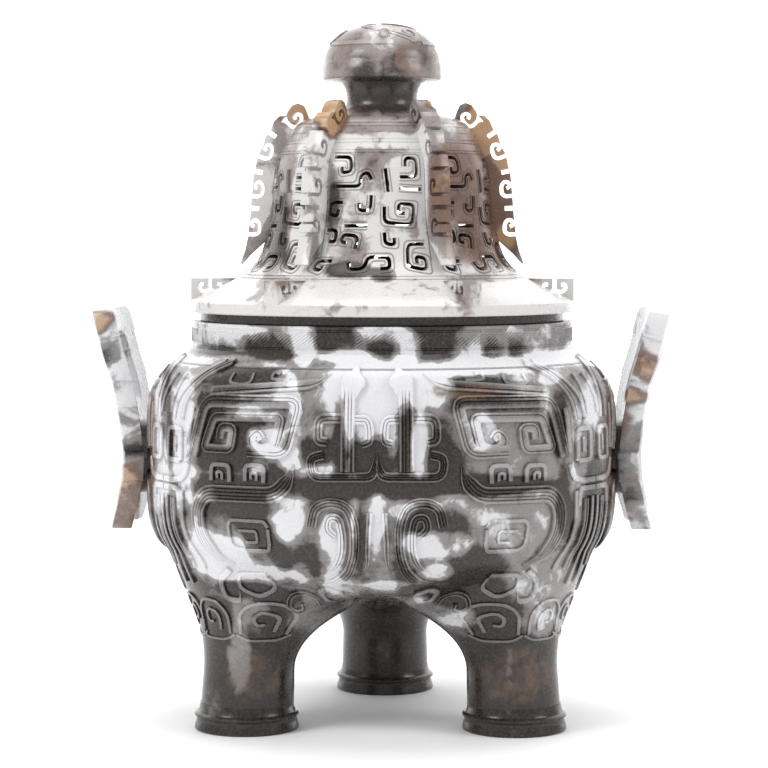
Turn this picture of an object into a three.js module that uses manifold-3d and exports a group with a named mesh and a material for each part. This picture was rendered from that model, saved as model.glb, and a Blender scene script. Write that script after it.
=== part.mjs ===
// Hardstone tripod ding with a pierced lid. Millimetres, +Z up, standing on its three feet.
// The vessel, with its legs and handles, is carved from one stone, and the lid from another.
import * as THREE from 'three';
import { mergeVertices } from 'three/addons/utils/BufferGeometryUtils.js';
import Module from 'manifold-3d';

const wasm = await Module();
wasm.setup();

const rad = THREE.MathUtils.degToRad;

// Clearance between the two stones where they touch.
const restGap = 0.3;

// How far a raised form is sunk into the stone that carries it.
const sunk = 2;

// Bowl and collar.
const collarTop = 241;
const collarRadius = 115;
const collarHeight = 15;
const collarWall = 11;
const mouthRadius = collarRadius - collarWall;
const bellyRadius = 139.5;
const lobeRise = 4.5;
const undersideHeight = 76;
const floorThickness = 12;
const bellyWall = 12;

// Legs.
const legCount = 3;
const firstLegAngle = 90;
const footCircle = 92;
const ankleCircle = 90;
const ankleHeight = 39;
const ankleRadius = 27;
const footRadius = 31;
const footRingHeight = 9.3;

// Handles.
const handleTop = 249;
const handleHeight = 132;
const handleThickness = 12;
const handleHalfWidth = 41;
const handleSlotWidth = 34;
const handleSlotHeight = 44;
const handleTopBar = 15;
const handleForkWidth = 36;
const handleForkHeight = 22;
const stemWidth = 34;
const stemHeight = 43;
const stemDrop = 69;

// Relief on the bowl.
const reliefRise = 1.8;
const reliefSink = 2.2;
const reliefStep = 36;

// Lid.
const lidTurn = -2;
const flangeOverhang = 1;
const flangeRadius = collarRadius + flangeOverhang;
const flangeThickness = 6.5;
const seatInset = 5;
const seatRadius = collarRadius - seatInset;
const seatDepth = 5.2;
const spigotClearance = 1.5;
const spigotWall = 7;
const spigotDepth = 8;
const lidWall = 6;
const domeHeight = 109;
const domeWaist = 65.6;
const neckHeight = 24.7;
const neckRadius = 21.2;
const neckFlare = 3;
const domeCrown = 5;
const finialRadius = 35.8;
const finialBand = 9.3;
const finialDome = 24;

// Fins, rim tabs and slots of the lid.
const finCount = 6;
const finThickness = 10;
const finUnit = 22.4;
const finUnits = 4;
const finFirstNotch = 4;
const notchHeight = 3;
const hookReach = 3.2;
const hookDepth = 5.2;
const hookWidth = 2.6;
const slitHeight = 1.8;
const tabHeight = 13.5;
const tabLength = 32;
const tabInner = flangeRadius - tabLength;
const tabNotchInset = 11.6;
const tabNotchRadius = flangeRadius - tabNotchInset;
const tabNotchWidth = 3.6;
const tabCurlWidth = 13;
const tabNotchDepth = 7.5;
const tabCurlLip = 2;
const tabCorner = 4;
const slotWidth = 2.6;
const slotOutside = 20;

// Reads a table of [height, value, value...] rows, with straight lines between them.
function tableAt(table, height, column = 1) {
  const last = table.length - 1;
  if (height >= table[0][0]) return table[0][column];
  if (height <= table[last][0]) return table[last][column];
  const i = table.findIndex((row) => row[0] <= height);
  const [high, low] = [table[i - 1], table[i]];
  const share = (height - low[0]) / (high[0] - low[0]);
  return low[column] + (high[column] - low[column]) * share;
}

// Turns a closed three.js geometry into a solid, with its faces pointing out.
function toSolid(geometry) {
  const bare = geometry.clone();
  bare.deleteAttribute('normal');
  bare.deleteAttribute('uv');
  const merged = mergeVertices(bare, 1e-4);
  const vertProperties = Float32Array.from(merged.attributes.position.array);
  const triVerts = Uint32Array.from(merged.index.array);
  const solid = new wasm.Manifold(new wasm.Mesh({ numProp: 3, vertProperties, triVerts }));
  if (solid.volume() > 0) return solid;
  for (let i = 0; i < triVerts.length; i += 3) {
    [triVerts[i], triVerts[i + 1]] = [triVerts[i + 1], triVerts[i]];
  }
  return new wasm.Manifold(new wasm.Mesh({ numProp: 3, vertProperties, triVerts }));
}

function toGeometry(solid) {
  const mesh = solid.getMesh();
  const geometry = new THREE.BufferGeometry();
  geometry.setAttribute('position', new THREE.BufferAttribute(new Float32Array(mesh.vertProperties), 3));
  geometry.setIndex(new THREE.BufferAttribute(new Uint32Array(mesh.triVerts), 1));
  geometry.computeVertexNormals();
  return geometry;
}

// A solid between rings of points, the first and last ring closed by a fan to their middles.
function loft(rings) {
  const count = rings[0].length;
  const points = rings.flat();
  const index = [];
  for (let r = 0; r + 1 < rings.length; r += 1) {
    for (let i = 0; i < count; i += 1) {
      const j = (i + 1) % count;
      const [a, b, c, d] = [r * count + i, r * count + j, (r + 1) * count + j, (r + 1) * count + i];
      index.push(a, b, c, a, c, d);
    }
  }
  const cap = (ring, start, flip) => {
    const middle = ring.reduce((sum, p) => sum.add(p), new THREE.Vector3()).divideScalar(count);
    points.push(middle);
    for (let i = 0; i < count; i += 1) {
      const j = (i + 1) % count;
      const pair = flip ? [start + j, start + i] : [start + i, start + j];
      index.push(pair[1], pair[0], points.length - 1);
    }
  };
  cap(rings[0], 0, false);
  cap(rings[rings.length - 1], (rings.length - 1) * count, true);
  const geometry = new THREE.BufferGeometry().setFromPoints(points);
  geometry.setIndex(index);
  return toSolid(geometry);
}

function lathe(profile, segments) {
  const points = profile.map(([z, r]) => new THREE.Vector2(r, z));
  const geometry = new THREE.LatheGeometry(points, segments);
  geometry.rotateX(Math.PI / 2);
  return toSolid(geometry);
}

// Bowl rows: share of the height from the underside to the collar's foot, share of the belly's radius
// that is left to the collar's radius (above the belly) or to the axis (below), share of the lobe.
const collarFoot = collarTop - collarHeight;
const bowlHeight = collarFoot - undersideHeight;
const bowlRow = (up, radius, lobe) => [undersideHeight + bowlHeight * up, radius, lobe];
const shoulder = (share) => collarRadius + (bellyRadius - collarRadius) * share;
const bowlRows = [
  [collarTop, collarRadius, 0],
  bowlRow(1, shoulder(0.02), 0),
  bowlRow(0.947, shoulder(0.4), 0.2),
  bowlRow(0.907, shoulder(0.73), 0.6),
  bowlRow(0.847, shoulder(0.89), 0.9),
  bowlRow(0.747, shoulder(0.98), 1),
  bowlRow(0.36, bellyRadius, 1),
  bowlRow(0.24, bellyRadius * 0.953, 1),
  bowlRow(0.16, bellyRadius * 0.867, 1),
  bowlRow(0.093, bellyRadius * 0.745, 0.6),
  bowlRow(0.04, bellyRadius * 0.57, 0.3),
  bowlRow(0.013, bellyRadius * 0.34, 0.1),
];

// Leg rows: height, radius on the outer side, radius on the inner side, where it spreads to the bowl.
const legTop = undersideHeight + 49;
const legRows = [
  [legTop, ankleRadius + 19, ankleRadius + 33],
  [undersideHeight + 24, ankleRadius + 15, ankleRadius + 43],
  [undersideHeight + 14, ankleRadius + 10.5, ankleRadius + 43],
  [undersideHeight + 4, ankleRadius + 6, ankleRadius + 43],
  [undersideHeight - 7, ankleRadius + 2.5, ankleRadius + 30],
  [undersideHeight - 12, ankleRadius + 1.3, ankleRadius + 21.5],
  [undersideHeight - 24, ankleRadius + 0.4, ankleRadius + 7],
  [ankleHeight, ankleRadius, ankleRadius],
  [footRingHeight + 2, ankleRadius + 2, ankleRadius + 2],
  [footRingHeight, footRadius, footRadius],
  [footRingHeight - 2, footRadius - 1.5, footRadius - 1.5],
  [0, footRadius, footRadius],
];

const legAngle = (i) => rad(firstLegAngle + (360 / legCount) * i);

function bowlRadius(angle, height) {
  if (height < bowlRows[bowlRows.length - 1][0]) return 0;
  const lobe = Math.cos(legCount * (angle - legAngle(0)));
  return tableAt(bowlRows, height) + lobeRise * tableAt(bowlRows, height, 2) * lobe;
}

function legCentre(i, height) {
  const share = Math.max(0, 1 - height / ankleHeight);
  const circle = ankleCircle + (footCircle - ankleCircle) * share;
  return new THREE.Vector2(circle, 0).rotateAround(new THREE.Vector2(), legAngle(i));
}

// Radius of a leg in the direction turned by this angle from straight out.
function legRadius(turn, height) {
  const inward = (1 - Math.cos(turn)) / 2;
  const outer = tableAt(legRows, height);
  return outer + (tableAt(legRows, height, 2) - outer) * inward;
}

function bowlSolid() {
  const segments = 30;
  const rings = bowlRows.map(([z]) => {
    return Array.from({ length: segments }, (_, i) => {
      const angle = (2 * Math.PI * i) / segments;
      const r = bowlRadius(angle, z);
      return new THREE.Vector3(r * Math.cos(angle), r * Math.sin(angle), z);
    });
  });
  const low = rings[rings.length - 1].map((p) => new THREE.Vector3(p.x / 2, p.y / 2, undersideHeight));
  return loft([...rings, low]);
}

function legSolid(i) {
  const segments = 12;
  const rings = legRows.map(([z]) => {
    const centre = legCentre(i, z);
    return Array.from({ length: segments }, (_, k) => {
      const turn = (2 * Math.PI * k) / segments;
      const r = legRadius(turn, z);
      const angle = legAngle(i) + turn;
      return new THREE.Vector3(centre.x + r * Math.cos(angle), centre.y + r * Math.sin(angle), z);
    });
  });
  return loft(rings);
}

// The hollow: a straight mouth through the collar, then the belly with its wall left.
function hollowSolid() {
  const inner = bellyRadius - bellyWall;
  const base = undersideHeight + floorThickness;
  const profile = [
    [collarTop + 1, 0],
    [collarTop + 1, mouthRadius],
    [collarFoot, mouthRadius],
    [undersideHeight + bowlHeight * 0.92, inner * 0.93],
    [undersideHeight + bowlHeight * 0.84, inner * 0.984],
    [undersideHeight + bowlHeight * 0.5, inner],
    [base + bowlHeight * 0.28, inner * 0.99],
    [base + bowlHeight * 0.16, inner * 0.92],
    [base + bowlHeight * 0.053, inner * 0.72],
    [base, inner * 0.45],
    [base, 0],
  ];
  return lathe(profile, 24);
}

// Outermost stone met on the way in along one direction, at one height.
function surfaceRadius(angle, height) {
  let best = bowlRadius(angle, height);
  if (height > legTop) return best;
  const ray = new THREE.Vector2(Math.cos(angle), Math.sin(angle));
  for (let i = 0; i < legCount; i += 1) {
    const centre = legCentre(i, height);
    const depth = (t) => {
      const arm = ray.clone().multiplyScalar(t).sub(centre);
      return arm.length() - legRadius(arm.angle() - legAngle(i), height);
    };
    let near = 0;
    for (let t = bellyRadius + lobeRise; t > best && near === 0; t -= 2) {
      if (depth(t) < 0) near = t;
    }
    if (near === 0) continue;
    let [low, high] = [near, near + 2];
    for (let n = 0; n < 12; n += 1) {
      const middle = (low + high) / 2;
      if (depth(middle) < 0) low = middle;
      else high = middle;
    }
    best = Math.max(best, low);
  }
  return best;
}

function surfacePoint(angle, height) {
  const r = surfaceRadius(angle, height);
  return new THREE.Vector3(r * Math.cos(angle), r * Math.sin(angle), height);
}

// A point of the relief: mm along the belly from the valley between two legs, height, lift.
function reliefPoint(valley, side, along, height, lift) {
  const angle = valley + (side * along) / bellyRadius;
  const step = 1.5;
  const across = surfacePoint(angle + step / bellyRadius, height);
  across.sub(surfacePoint(angle - step / bellyRadius, height));
  const up = surfacePoint(angle, height + step).sub(surfacePoint(angle, height - step));
  const normal = across.cross(up).normalize();
  return surfacePoint(angle, height).addScaledVector(normal, lift);
}

// Points of a path, with more of them on its long stretches.
function refine(path, step) {
  const points = [new THREE.Vector2(...path[0])];
  for (let i = 1; i < path.length; i += 1) {
    const start = new THREE.Vector2(...path[i - 1]);
    const end = new THREE.Vector2(...path[i]);
    const parts = Math.max(1, Math.round(start.distanceTo(end) / step));
    for (let k = 1; k <= parts; k += 1) points.push(start.clone().lerp(end, k / parts));
  }
  return points;
}

// A band of even width along a flat path with mitred corners, laid on a surface by place().
function band(path, width, step, low, high, place) {
  const points = refine(path, step);
  const rings = points.map((point, i) => {
    const before = points[Math.max(i - 1, 0)];
    const after = points[Math.min(i + 1, points.length - 1)];
    const arrive = (i === 0 ? after.clone().sub(point) : point.clone().sub(before)).normalize();
    const leave = (i === points.length - 1 ? arrive.clone() : after.clone().sub(point)).normalize();
    const mitre = arrive.clone().add(leave).normalize();
    const reach = width / 2 / Math.max(0.5, mitre.dot(arrive));
    const side = new THREE.Vector2(-mitre.y, mitre.x).multiplyScalar(reach);
    const left = point.clone().add(side);
    const right = point.clone().sub(side);
    return [place(left, low), place(right, low), place(right, high), place(left, high)];
  });
  return loft(rings);
}

// Strokes of half a mask, from the valley to the line of a leg: width, then corners in mm.
const maskStrokes = [
  { width: 8, path: [[17, 212], [17, 162]] },
  { width: 5.5, path: [[2, 167], [2, 158], [38, 158], [38, 169]] },
  { width: 7, path: [[29, 141], [13, 139], [12, 113], [36, 97]] },
  { width: 6.5, path: [[51, 169], [45, 199], [106, 199], [114, 169]] },
  { width: 4.5, path: [[72, 173.5], [57, 173.5], [55, 190], [100, 190], [105, 173.5], [87, 173.5]] },
  { width: 10, path: [[67, 158.5], [101, 158.5]] },
  { width: 7, path: [[50, 163], [57, 149.5], [114, 149.5], [119, 120]] },
  { width: 16, path: [[66, 124], [91, 124]] },
  { width: 12, path: [[133, 182], [133, 163]] },
];

function reliefSolids() {
  const solids = [];
  for (let i = 0; i < legCount; i += 1) {
    const valley = legAngle(i) + Math.PI / legCount;
    for (const side of [-1, 1]) {
      const place = (p, lift) => reliefPoint(valley, side, p.x, p.y, lift);
      for (const { width, path } of maskStrokes) {
        solids.push(band(path, width, reliefStep, -reliefSink, reliefRise, place));
      }
    }
  }
  return solids;
}

// A handle wraps round the belly: its two ends stand this much nearer to the axis than its middle.
const handleWrap = 5;
const handleStations = [-1, -0.4, 0.4, 1];

// Handle rows: height, distance of its inner face from the axis at the middle, half width.
const handleTail = handleTop - handleHeight;
const handleRows = [
  [handleTop, bellyRadius + 24.5, handleHalfWidth - 8],
  [handleTop - 8, bellyRadius + 22, handleHalfWidth],
  [handleTop - 29, bellyRadius + 17, handleHalfWidth],
  [handleTop - 43, bellyRadius + 12, handleHalfWidth],
  [handleTop - 44, bellyRadius + 11.7, handleHalfWidth - 3],
  [handleTop - 68, bellyRadius + 7.5, handleHalfWidth - 3],
  [handleTop - 86, bellyRadius + 5.5, handleHalfWidth - 5],
  [handleTop - 87, bellyRadius + 5.5, handleHalfWidth],
  [handleTop - 103, bellyRadius + 6.5, handleHalfWidth],
  [handleTop - 119, bellyRadius + 9.5, handleHalfWidth - 5],
  [handleTail, bellyRadius + 12.5, handleHalfWidth - 12],
];

// A prism through the handle: its outline in y and z, from one x to another.
function throughX(outline, from, to) {
  const shape = new THREE.Shape(outline.map(([y, z]) => new THREE.Vector2(y, z)));
  const geometry = new THREE.ExtrudeGeometry(shape, { depth: to - from, bevelEnabled: false });
  geometry.rotateY(Math.PI / 2);
  geometry.rotateX(Math.PI / 2);
  geometry.translate(from, 0, 0);
  return toSolid(geometry);
}

function handleSolid() {
  const rings = handleRows.map(([z, inner, half]) => {
    const across = (depth) => handleStations.map((share) => {
      const wrap = handleWrap * (share * half / handleHalfWidth) ** 2;
      return new THREE.Vector3(inner + depth - wrap, share * half, z);
    });
    return [...across(0).reverse(), ...across(handleThickness)];
  });
  const half = handleSlotWidth / 2;
  const corner = half * 0.4;
  const slotHigh = handleTop - handleTopBar;
  const slotLow = slotHigh - handleSlotHeight;
  const stemHigh = handleTop - stemDrop;
  const stemLow = stemHigh - stemHeight;
  const slot = throughX([
    [-half, slotLow + corner], [-half + corner, slotLow],
    [half - corner, slotLow], [half, slotLow + corner],
    [half, slotHigh - corner], [half - corner, slotHigh],
    [-half + corner, slotHigh], [-half, slotHigh - corner],
  ], bellyRadius, bellyRadius + 50);
  const fork = throughX([
    [-handleForkWidth / 2, handleTail - 2], [handleForkWidth / 2, handleTail - 2],
    [0, handleTail + handleForkHeight],
  ], bellyRadius, bellyRadius + 50);
  const stem = throughX([
    [-stemWidth / 2, stemLow], [stemWidth / 2, stemLow],
    [stemWidth / 2, stemHigh], [-stemWidth / 2, stemHigh],
  ], bellyRadius - bellyWall / 2, tableAt(handleRows, stemLow) + handleThickness / 2);
  return loft(rings).subtract(slot).subtract(fork).add(stem);
}

function vesselSolid() {
  let solid = bowlSolid();
  for (let i = 0; i < legCount; i += 1) solid = solid.add(legSolid(i));
  for (const relief of reliefSolids()) solid = solid.add(relief);
  solid = solid.add(handleSolid()).add(handleSolid().rotate([0, 0, 180]));
  return solid.subtract(hollowSolid());
}

// Lid rows, outside, from the flange edge to the neck: height, radius.
const seat = collarTop + restGap;
const flangeLow = seat + seatDepth;
const flangeTop = flangeLow + flangeThickness;
const domeTop = flangeTop + domeHeight;
const domeRow = (down, radius) => [domeTop - domeHeight * down, domeWaist * radius];
const domeRows = [
  domeRow(0, 0.71),
  domeRow(0.138, 0.89),
  domeRow(0.266, 0.98),
  domeRow(0.413, 1),
  domeRow(0.66, 1.069),
  domeRow(0.78, 1.148),
  domeRow(0.844, 1.26),
  domeRow(0.945, 1.573),
  [flangeTop, flangeRadius],
];

function lidBody() {
  const bandLow = domeTop + neckHeight;
  const bandTop = bandLow + finialBand;
  const peak = bandTop + finialDome;
  const spigotOuter = mouthRadius - spigotClearance;
  const spigotInner = spigotOuter - spigotWall;
  const inside = domeRows.filter(([z, r]) => z < domeTop && r + 2 < spigotInner).reverse();
  const profile = [
    [peak, 0],
    [peak - 4, finialRadius * 0.62],
    [peak - 11, finialRadius * 0.86],
    [peak - 19, finialRadius * 0.96],
    [bandTop, finialRadius],
    [bandLow, finialRadius],
    [bandLow - 1, neckRadius + neckFlare],
    [bandLow - neckHeight / 2, neckRadius],
    [domeTop + domeCrown, neckRadius + neckFlare],
    ...domeRows,
    [flangeLow, flangeRadius],
    [flangeLow, seatRadius],
    [seat, seatRadius],
    [seat, spigotOuter],
    [collarTop - spigotDepth, spigotOuter],
    [collarTop - spigotDepth, spigotInner],
    [flangeTop, spigotInner],
    ...inside.map(([z, r]) => [z - lidWall * 0.4, r - lidWall]),
    [domeTop - lidWall + 2, 0],
  ];
  return lathe(profile, 24);
}

// A flat plate standing on a radius, its outline in radius and height.
function radialPlate(outline, thickness) {
  const shape = new THREE.Shape(outline.map(([r, z]) => new THREE.Vector2(r, z)));
  const geometry = new THREE.ExtrudeGeometry(shape, { depth: thickness, bevelEnabled: false });
  geometry.translate(0, 0, -thickness / 2);
  geometry.rotateX(Math.PI / 2);
  return toSolid(geometry);
}

// Fin rows: height, radius of its outer edge.
const finRows = [
  domeRow(-0.09, 0.76),
  domeRow(-0.02, 0.95),
  domeRow(0.147, 1.15),
  domeRow(0.22, 1.194),
  domeRow(0.358, 1.22),
  domeRow(0.76, 1.27),
];

// One fin: its edge is parted in turn by notches that widen into a pair of inward hooks and by slits.
function finOutline() {
  const edge = (z) => tableAt(finRows, z);
  const inside = domeRows.filter(([z]) => z > domeTop - domeHeight * 0.8).reverse();
  const outline = [[edge(finRows[0][0]), finRows[0][0]]];
  for (let i = 0; i < finUnits; i += 1) {
    const z = domeTop - finFirstNotch - finUnit * i;
    const inner = edge(z) - hookDepth;
    const hook = inner - hookWidth;
    outline.push([edge(z), z]);
    outline.push([inner, z]);
    outline.push([inner, z + hookReach]);
    outline.push([hook, z + hookReach]);
    outline.push([hook, z - notchHeight - hookReach]);
    outline.push([inner, z - notchHeight - hookReach]);
    outline.push([inner, z - notchHeight]);
    outline.push([edge(z), z - notchHeight]);
    if (i + 1 === finUnits) continue;
    const slit = z - finUnit * 0.6;
    outline.push([edge(slit), slit], [inner, slit]);
    outline.push([inner, slit - slitHeight], [edge(slit), slit - slitHeight]);
  }
  const tip = domeRow(0.76, 1.27);
  const heel = domeRow(0.86, 1.16);
  outline.push([tip[1], tip[0]], [heel[1], heel[0]]);
  for (const [z, r] of inside) outline.push([r - lidWall / 2, z]);
  return outline;
}

// One rim tab: level top, upright edge, and a notch that curls to both sides at its foot.
function tabOutline() {
  const half = tabNotchWidth / 2;
  const curl = tabCurlWidth / 2;
  const tabTop = flangeTop + tabHeight;
  const low = tabTop - tabNotchDepth;
  const mirrored = (sign) => [
    [tabNotchRadius + sign * half, tabTop],
    [tabNotchRadius + sign * half, low],
    [tabNotchRadius + sign * (curl - tabCurlLip), low],
    [tabNotchRadius + sign * (curl - tabCurlLip), low + tabCurlLip],
    [tabNotchRadius + sign * curl, low + tabCurlLip],
    [tabNotchRadius + sign * curl, low - tabCurlLip],
  ];
  return [
    [tabInner, tabTop - tabCorner],
    [tabInner + tabCorner, tabTop],
    ...mirrored(-1),
    ...mirrored(1).reverse(),
    [flangeRadius, tabTop],
    [flangeRadius, flangeTop - sunk],
    [tabInner, flangeTop - sunk],
  ];
}

// Slots of one panel: mm from its middle line along the dome, and mm below the dome's top.
const slotPaths = [
  [[-26, 26], [-16, 26], [-16, 34]],
  [[-24, 41], [-7, 41], [-7, 31]],
  [[4, 28], [4, 42]],
  [[12, 35], [23, 35], [23, 26]],
  [[-3, 50], [-3, 58], [-18, 58]],
  [[4, 65], [21, 65], [21, 52]],
  [[-25, 68], [-25, 80], [-6, 80]],
];

function slotSolids(turn) {
  const place = (p, lift) => {
    const angle = turn + p.x / domeWaist;
    return new THREE.Vector3(lift * Math.cos(angle), lift * Math.sin(angle), domeTop - p.y);
  };
  const inside = domeWaist - lidWall * 4;
  const outside = flangeRadius - slotOutside;
  return slotPaths.map((path) => band(path, slotWidth, domeWaist, inside, outside, place));
}

function lidSolid() {
  let solid = lidBody();
  const fin = radialPlate(finOutline(), finThickness);
  const tab = radialPlate(tabOutline(), finThickness);
  for (let i = 0; i < finCount; i += 1) {
    const degrees = (360 / finCount) * i;
    const panel = rad(degrees + 180 / finCount);
    for (const slot of slotSolids(panel)) solid = solid.subtract(slot);
    solid = solid.add(fin.rotate([0, 0, degrees])).add(tab.rotate([0, 0, degrees]));
  }
  return solid;
}

function piece(name, solid, color, roughness) {
  const material = new THREE.MeshStandardMaterial({ color, roughness, metalness: 0 });
  const mesh = new THREE.Mesh(toGeometry(solid), material);
  mesh.name = name;
  return mesh;
}

const ding = new THREE.Group();
const vessel = piece('vessel', vesselSolid(), 0x6f6865, 0.3);
const lid = piece('lid', lidSolid(), 0xb9aaa6, 0.32);
lid.rotation.z = rad(lidTurn);
ding.add(vessel, lid);

// The middle of the whole box stands over the origin.
const middle = new THREE.Box3().setFromObject(ding, true).getCenter(new THREE.Vector3());
ding.position.set(-middle.x, -middle.y, 0);

export default ding;
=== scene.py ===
# %% [markdown]
# # A lidded tripod ding in mottled hardstone
# The object is two carved stones. One is the vessel: a round bowl that swells over three legs, with a
# plain collar and two upright handles. The other is the lid: a pierced dome with fins and a knob.
# The measured solids are loaded first. Each stone is then modelled finely over its solid, in metres,
# in the same place, and nothing is fitted afterwards.

# %% Load the frame
import math
import random

import bmesh
import bpy
import numpy as np
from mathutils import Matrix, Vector
from mathutils.bvhtree import BVHTree


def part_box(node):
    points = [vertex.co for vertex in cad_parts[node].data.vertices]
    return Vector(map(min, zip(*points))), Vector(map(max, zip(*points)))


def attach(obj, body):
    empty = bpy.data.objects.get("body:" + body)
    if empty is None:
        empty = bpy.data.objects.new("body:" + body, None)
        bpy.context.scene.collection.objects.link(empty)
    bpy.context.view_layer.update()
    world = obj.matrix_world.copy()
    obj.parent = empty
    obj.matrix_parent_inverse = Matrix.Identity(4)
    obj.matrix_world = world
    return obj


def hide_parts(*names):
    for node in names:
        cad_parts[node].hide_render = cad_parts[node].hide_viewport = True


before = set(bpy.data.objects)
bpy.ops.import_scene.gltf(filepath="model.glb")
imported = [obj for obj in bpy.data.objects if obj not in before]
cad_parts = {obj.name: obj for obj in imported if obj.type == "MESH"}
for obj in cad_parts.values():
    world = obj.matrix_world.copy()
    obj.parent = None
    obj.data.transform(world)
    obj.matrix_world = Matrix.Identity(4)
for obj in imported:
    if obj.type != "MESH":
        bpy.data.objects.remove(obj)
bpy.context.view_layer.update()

MM = 0.001

# %% [markdown]
# ## Places taken from the frame
# Both stones are turned about one upright axis, which is the middle of the lid's box. The heights of
# the collar and of the peak follow from the lid's lowest and highest points.

# %% The axis and the main heights
lid_low, lid_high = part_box("lid")
vessel_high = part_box("vessel")[1]
AXIS = Vector(((lid_low[0] + lid_high[0]) / 2, (lid_low[1] + lid_high[1]) / 2, 0.0))
SPIGOT_DEPTH = 8.0
COLLAR_TOP = lid_low[2] / MM + SPIGOT_DEPTH
PEAK = lid_high[2] / MM
HANDLE_TOP = vessel_high[2] / MM
print("collar top", round(COLLAR_TOP, 1), "handle top", round(HANDLE_TOP, 1), "peak", round(PEAK, 1))

# %% [markdown]
# ## The camera
# The photograph looks along the line between the two front legs, a little from above and from far
# away. The curves of the rim give the camera's height, and the size of the back foot its distance.

# %% Camera
CAMERA_DISTANCE = 1578 * MM
CAMERA_HEIGHT = 295.6 * MM
CAMERA_TURN = math.radians(1.2)
CAMERA_PITCH = math.radians(3.39)
AXIS_OFFSET = 1.2 * MM
CAMERA_LENS = 121.9


def in_scene(name, data):
    """A new object that holds this data, linked into the scene."""
    obj = bpy.data.objects.new(name, data)
    bpy.context.scene.collection.objects.link(obj)
    return obj


camera_data = bpy.data.cameras.new("camera")
camera_data.lens = CAMERA_LENS
camera_data.clip_end = 20
camera = in_scene("camera", camera_data)
back = Vector((math.sin(CAMERA_TURN), -math.cos(CAMERA_TURN), 0))
right = Vector((math.cos(CAMERA_TURN), math.sin(CAMERA_TURN), 0))
camera.location = AXIS + back * CAMERA_DISTANCE + Vector((0, 0, CAMERA_HEIGHT))
aim_height = CAMERA_HEIGHT - CAMERA_DISTANCE * math.tan(CAMERA_PITCH)
aim = AXIS + right * AXIS_OFFSET + Vector((0, 0, aim_height))
camera.rotation_euler = (aim - camera.location).to_track_quat("-Z", "Y").to_euler()
bpy.context.scene.camera = camera
print("camera at", [round(v, 3) for v in camera.location])

# %% [markdown]
# ## Turned forms
# A stone bowl, a collar and a knob are all ground round on a wheel. The same idea works here: half
# of the outline is drawn once and spun about the axis, and the seam and the poles are merged.

# %% A helper that spins an outline
MERGE_GAP = 0.02 * MM


def only(obj):
    bpy.ops.object.select_all(action="DESELECT")
    obj.select_set(True)
    bpy.context.view_layer.objects.active = obj


def mesh_object(name, vertices, faces, edges=()):
    mesh = bpy.data.meshes.new(name)
    mesh.from_pydata(vertices, list(edges), faces)
    return in_scene(name, mesh)


def face_outwards(obj, merge=True):
    """Merges doubled points, where asked to, and turns every face outwards."""
    only(obj)
    bpy.ops.object.mode_set(mode="EDIT")
    bpy.ops.mesh.select_all(action="SELECT")
    if merge:
        bpy.ops.mesh.remove_doubles(threshold=MERGE_GAP)
    bpy.ops.mesh.normals_make_consistent(inside=False)
    bpy.ops.object.mode_set(mode="OBJECT")


def spun(name, outline, steps, centre=None):
    """Spins (radius, height) points in mm. The outline ends on the axis or closes on itself."""
    middle = AXIS if centre is None else centre
    points = [middle + Vector((r * MM, 0, z * MM)) for r, z in outline]
    edges = [(i, i + 1) for i in range(len(points) - 1)]
    obj = mesh_object(name, points, [], edges)
    only(obj)
    bpy.ops.object.mode_set(mode="EDIT")
    bpy.ops.mesh.select_all(action="SELECT")
    bpy.ops.mesh.spin(steps=steps, angle=2 * math.pi, center=middle, axis=(0, 0, 1))
    bpy.ops.object.mode_set(mode="OBJECT")
    face_outwards(obj)
    print(name, "has", len(obj.data.polygons), "faces")
    return obj


def smooth_outline(points, parts=4):
    """A curve through the points, with a few more between each two of them."""
    curve = []
    for i in range(len(points) - 1):
        before = Vector(points[max(i - 1, 0)])
        start, end = Vector(points[i]), Vector(points[i + 1])
        after = Vector(points[min(i + 2, len(points) - 1)])
        for k in range(parts):
            t = k / parts
            lead = (end - before) / 2
            trail = (after - start) / 2
            curve.append(start * (2 * t**3 - 3 * t**2 + 1) + lead * (t**3 - 2 * t**2 + t)
                         + end * (3 * t**2 - 2 * t**3) + trail * (t**3 - t**2))
    return curve + [Vector(points[-1])]


def apply_modifier(obj, kind, **settings):
    only(obj)
    modifier = obj.modifiers.new(kind.lower(), kind)
    for name, value in settings.items():
        setattr(modifier, name, value)
    bpy.ops.object.modifier_apply(modifier=modifier.name)


def cut_away(obj, cutter, **settings):
    """Takes a closed form out of an object and removes the form."""
    apply_modifier(obj, "BOOLEAN", object=cutter, operation="DIFFERENCE", solver="EXACT", **settings)
    bpy.data.objects.remove(cutter)


def join(parts, name):
    bpy.ops.object.select_all(action="DESELECT")
    for part in parts:
        part.select_set(True)
    bpy.context.view_layer.objects.active = parts[0]
    bpy.ops.object.join()
    parts[0].name = name
    return parts[0]

# %% [markdown]
# ## The bowl
# The bowl is a low, full round with a concave shoulder under the collar. Over each leg it swells by
# a few millimetres, so seen from above it has three soft lobes. It is spun, and its points are then
# pushed out by a cosine of three waves, which fades out at the collar and underneath.

# %% Bowl with three lobes
LEG_COUNT = 3
LEG_ANGLES = [math.radians(90 + 120 * i) for i in range(LEG_COUNT)]
LOBE = 4.5
RELIEF_ROOM = 0.7     # the bowl stands this much inside its solid, so that the relief stays in the box
UNDERSIDE = 76.0
LOBE_RISE = 30.0
LOBE_END = 224.0
LOBE_FADE = 26.0
BELLY = 139.5
bowl_outline = [(0, 76), (30, 76.5), (47.5, 78), (64, 80), (79.5, 82.6), (93, 86.2), (104, 90.4),
                (114, 95), (121.5, 100.5), (128.5, 106.5), (133.5, 112.5), (137, 120), (139, 130),
                (139.5, 145), (139.4, 162), (139.1, 177), (138.6, 188), (137.3, 197.5), (134.5, 206),
                (130.5, 212.5), (125, 217.5), (119.5, 221.5), (116.2, 224.5), (115, 227), (115, 228)]


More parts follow.
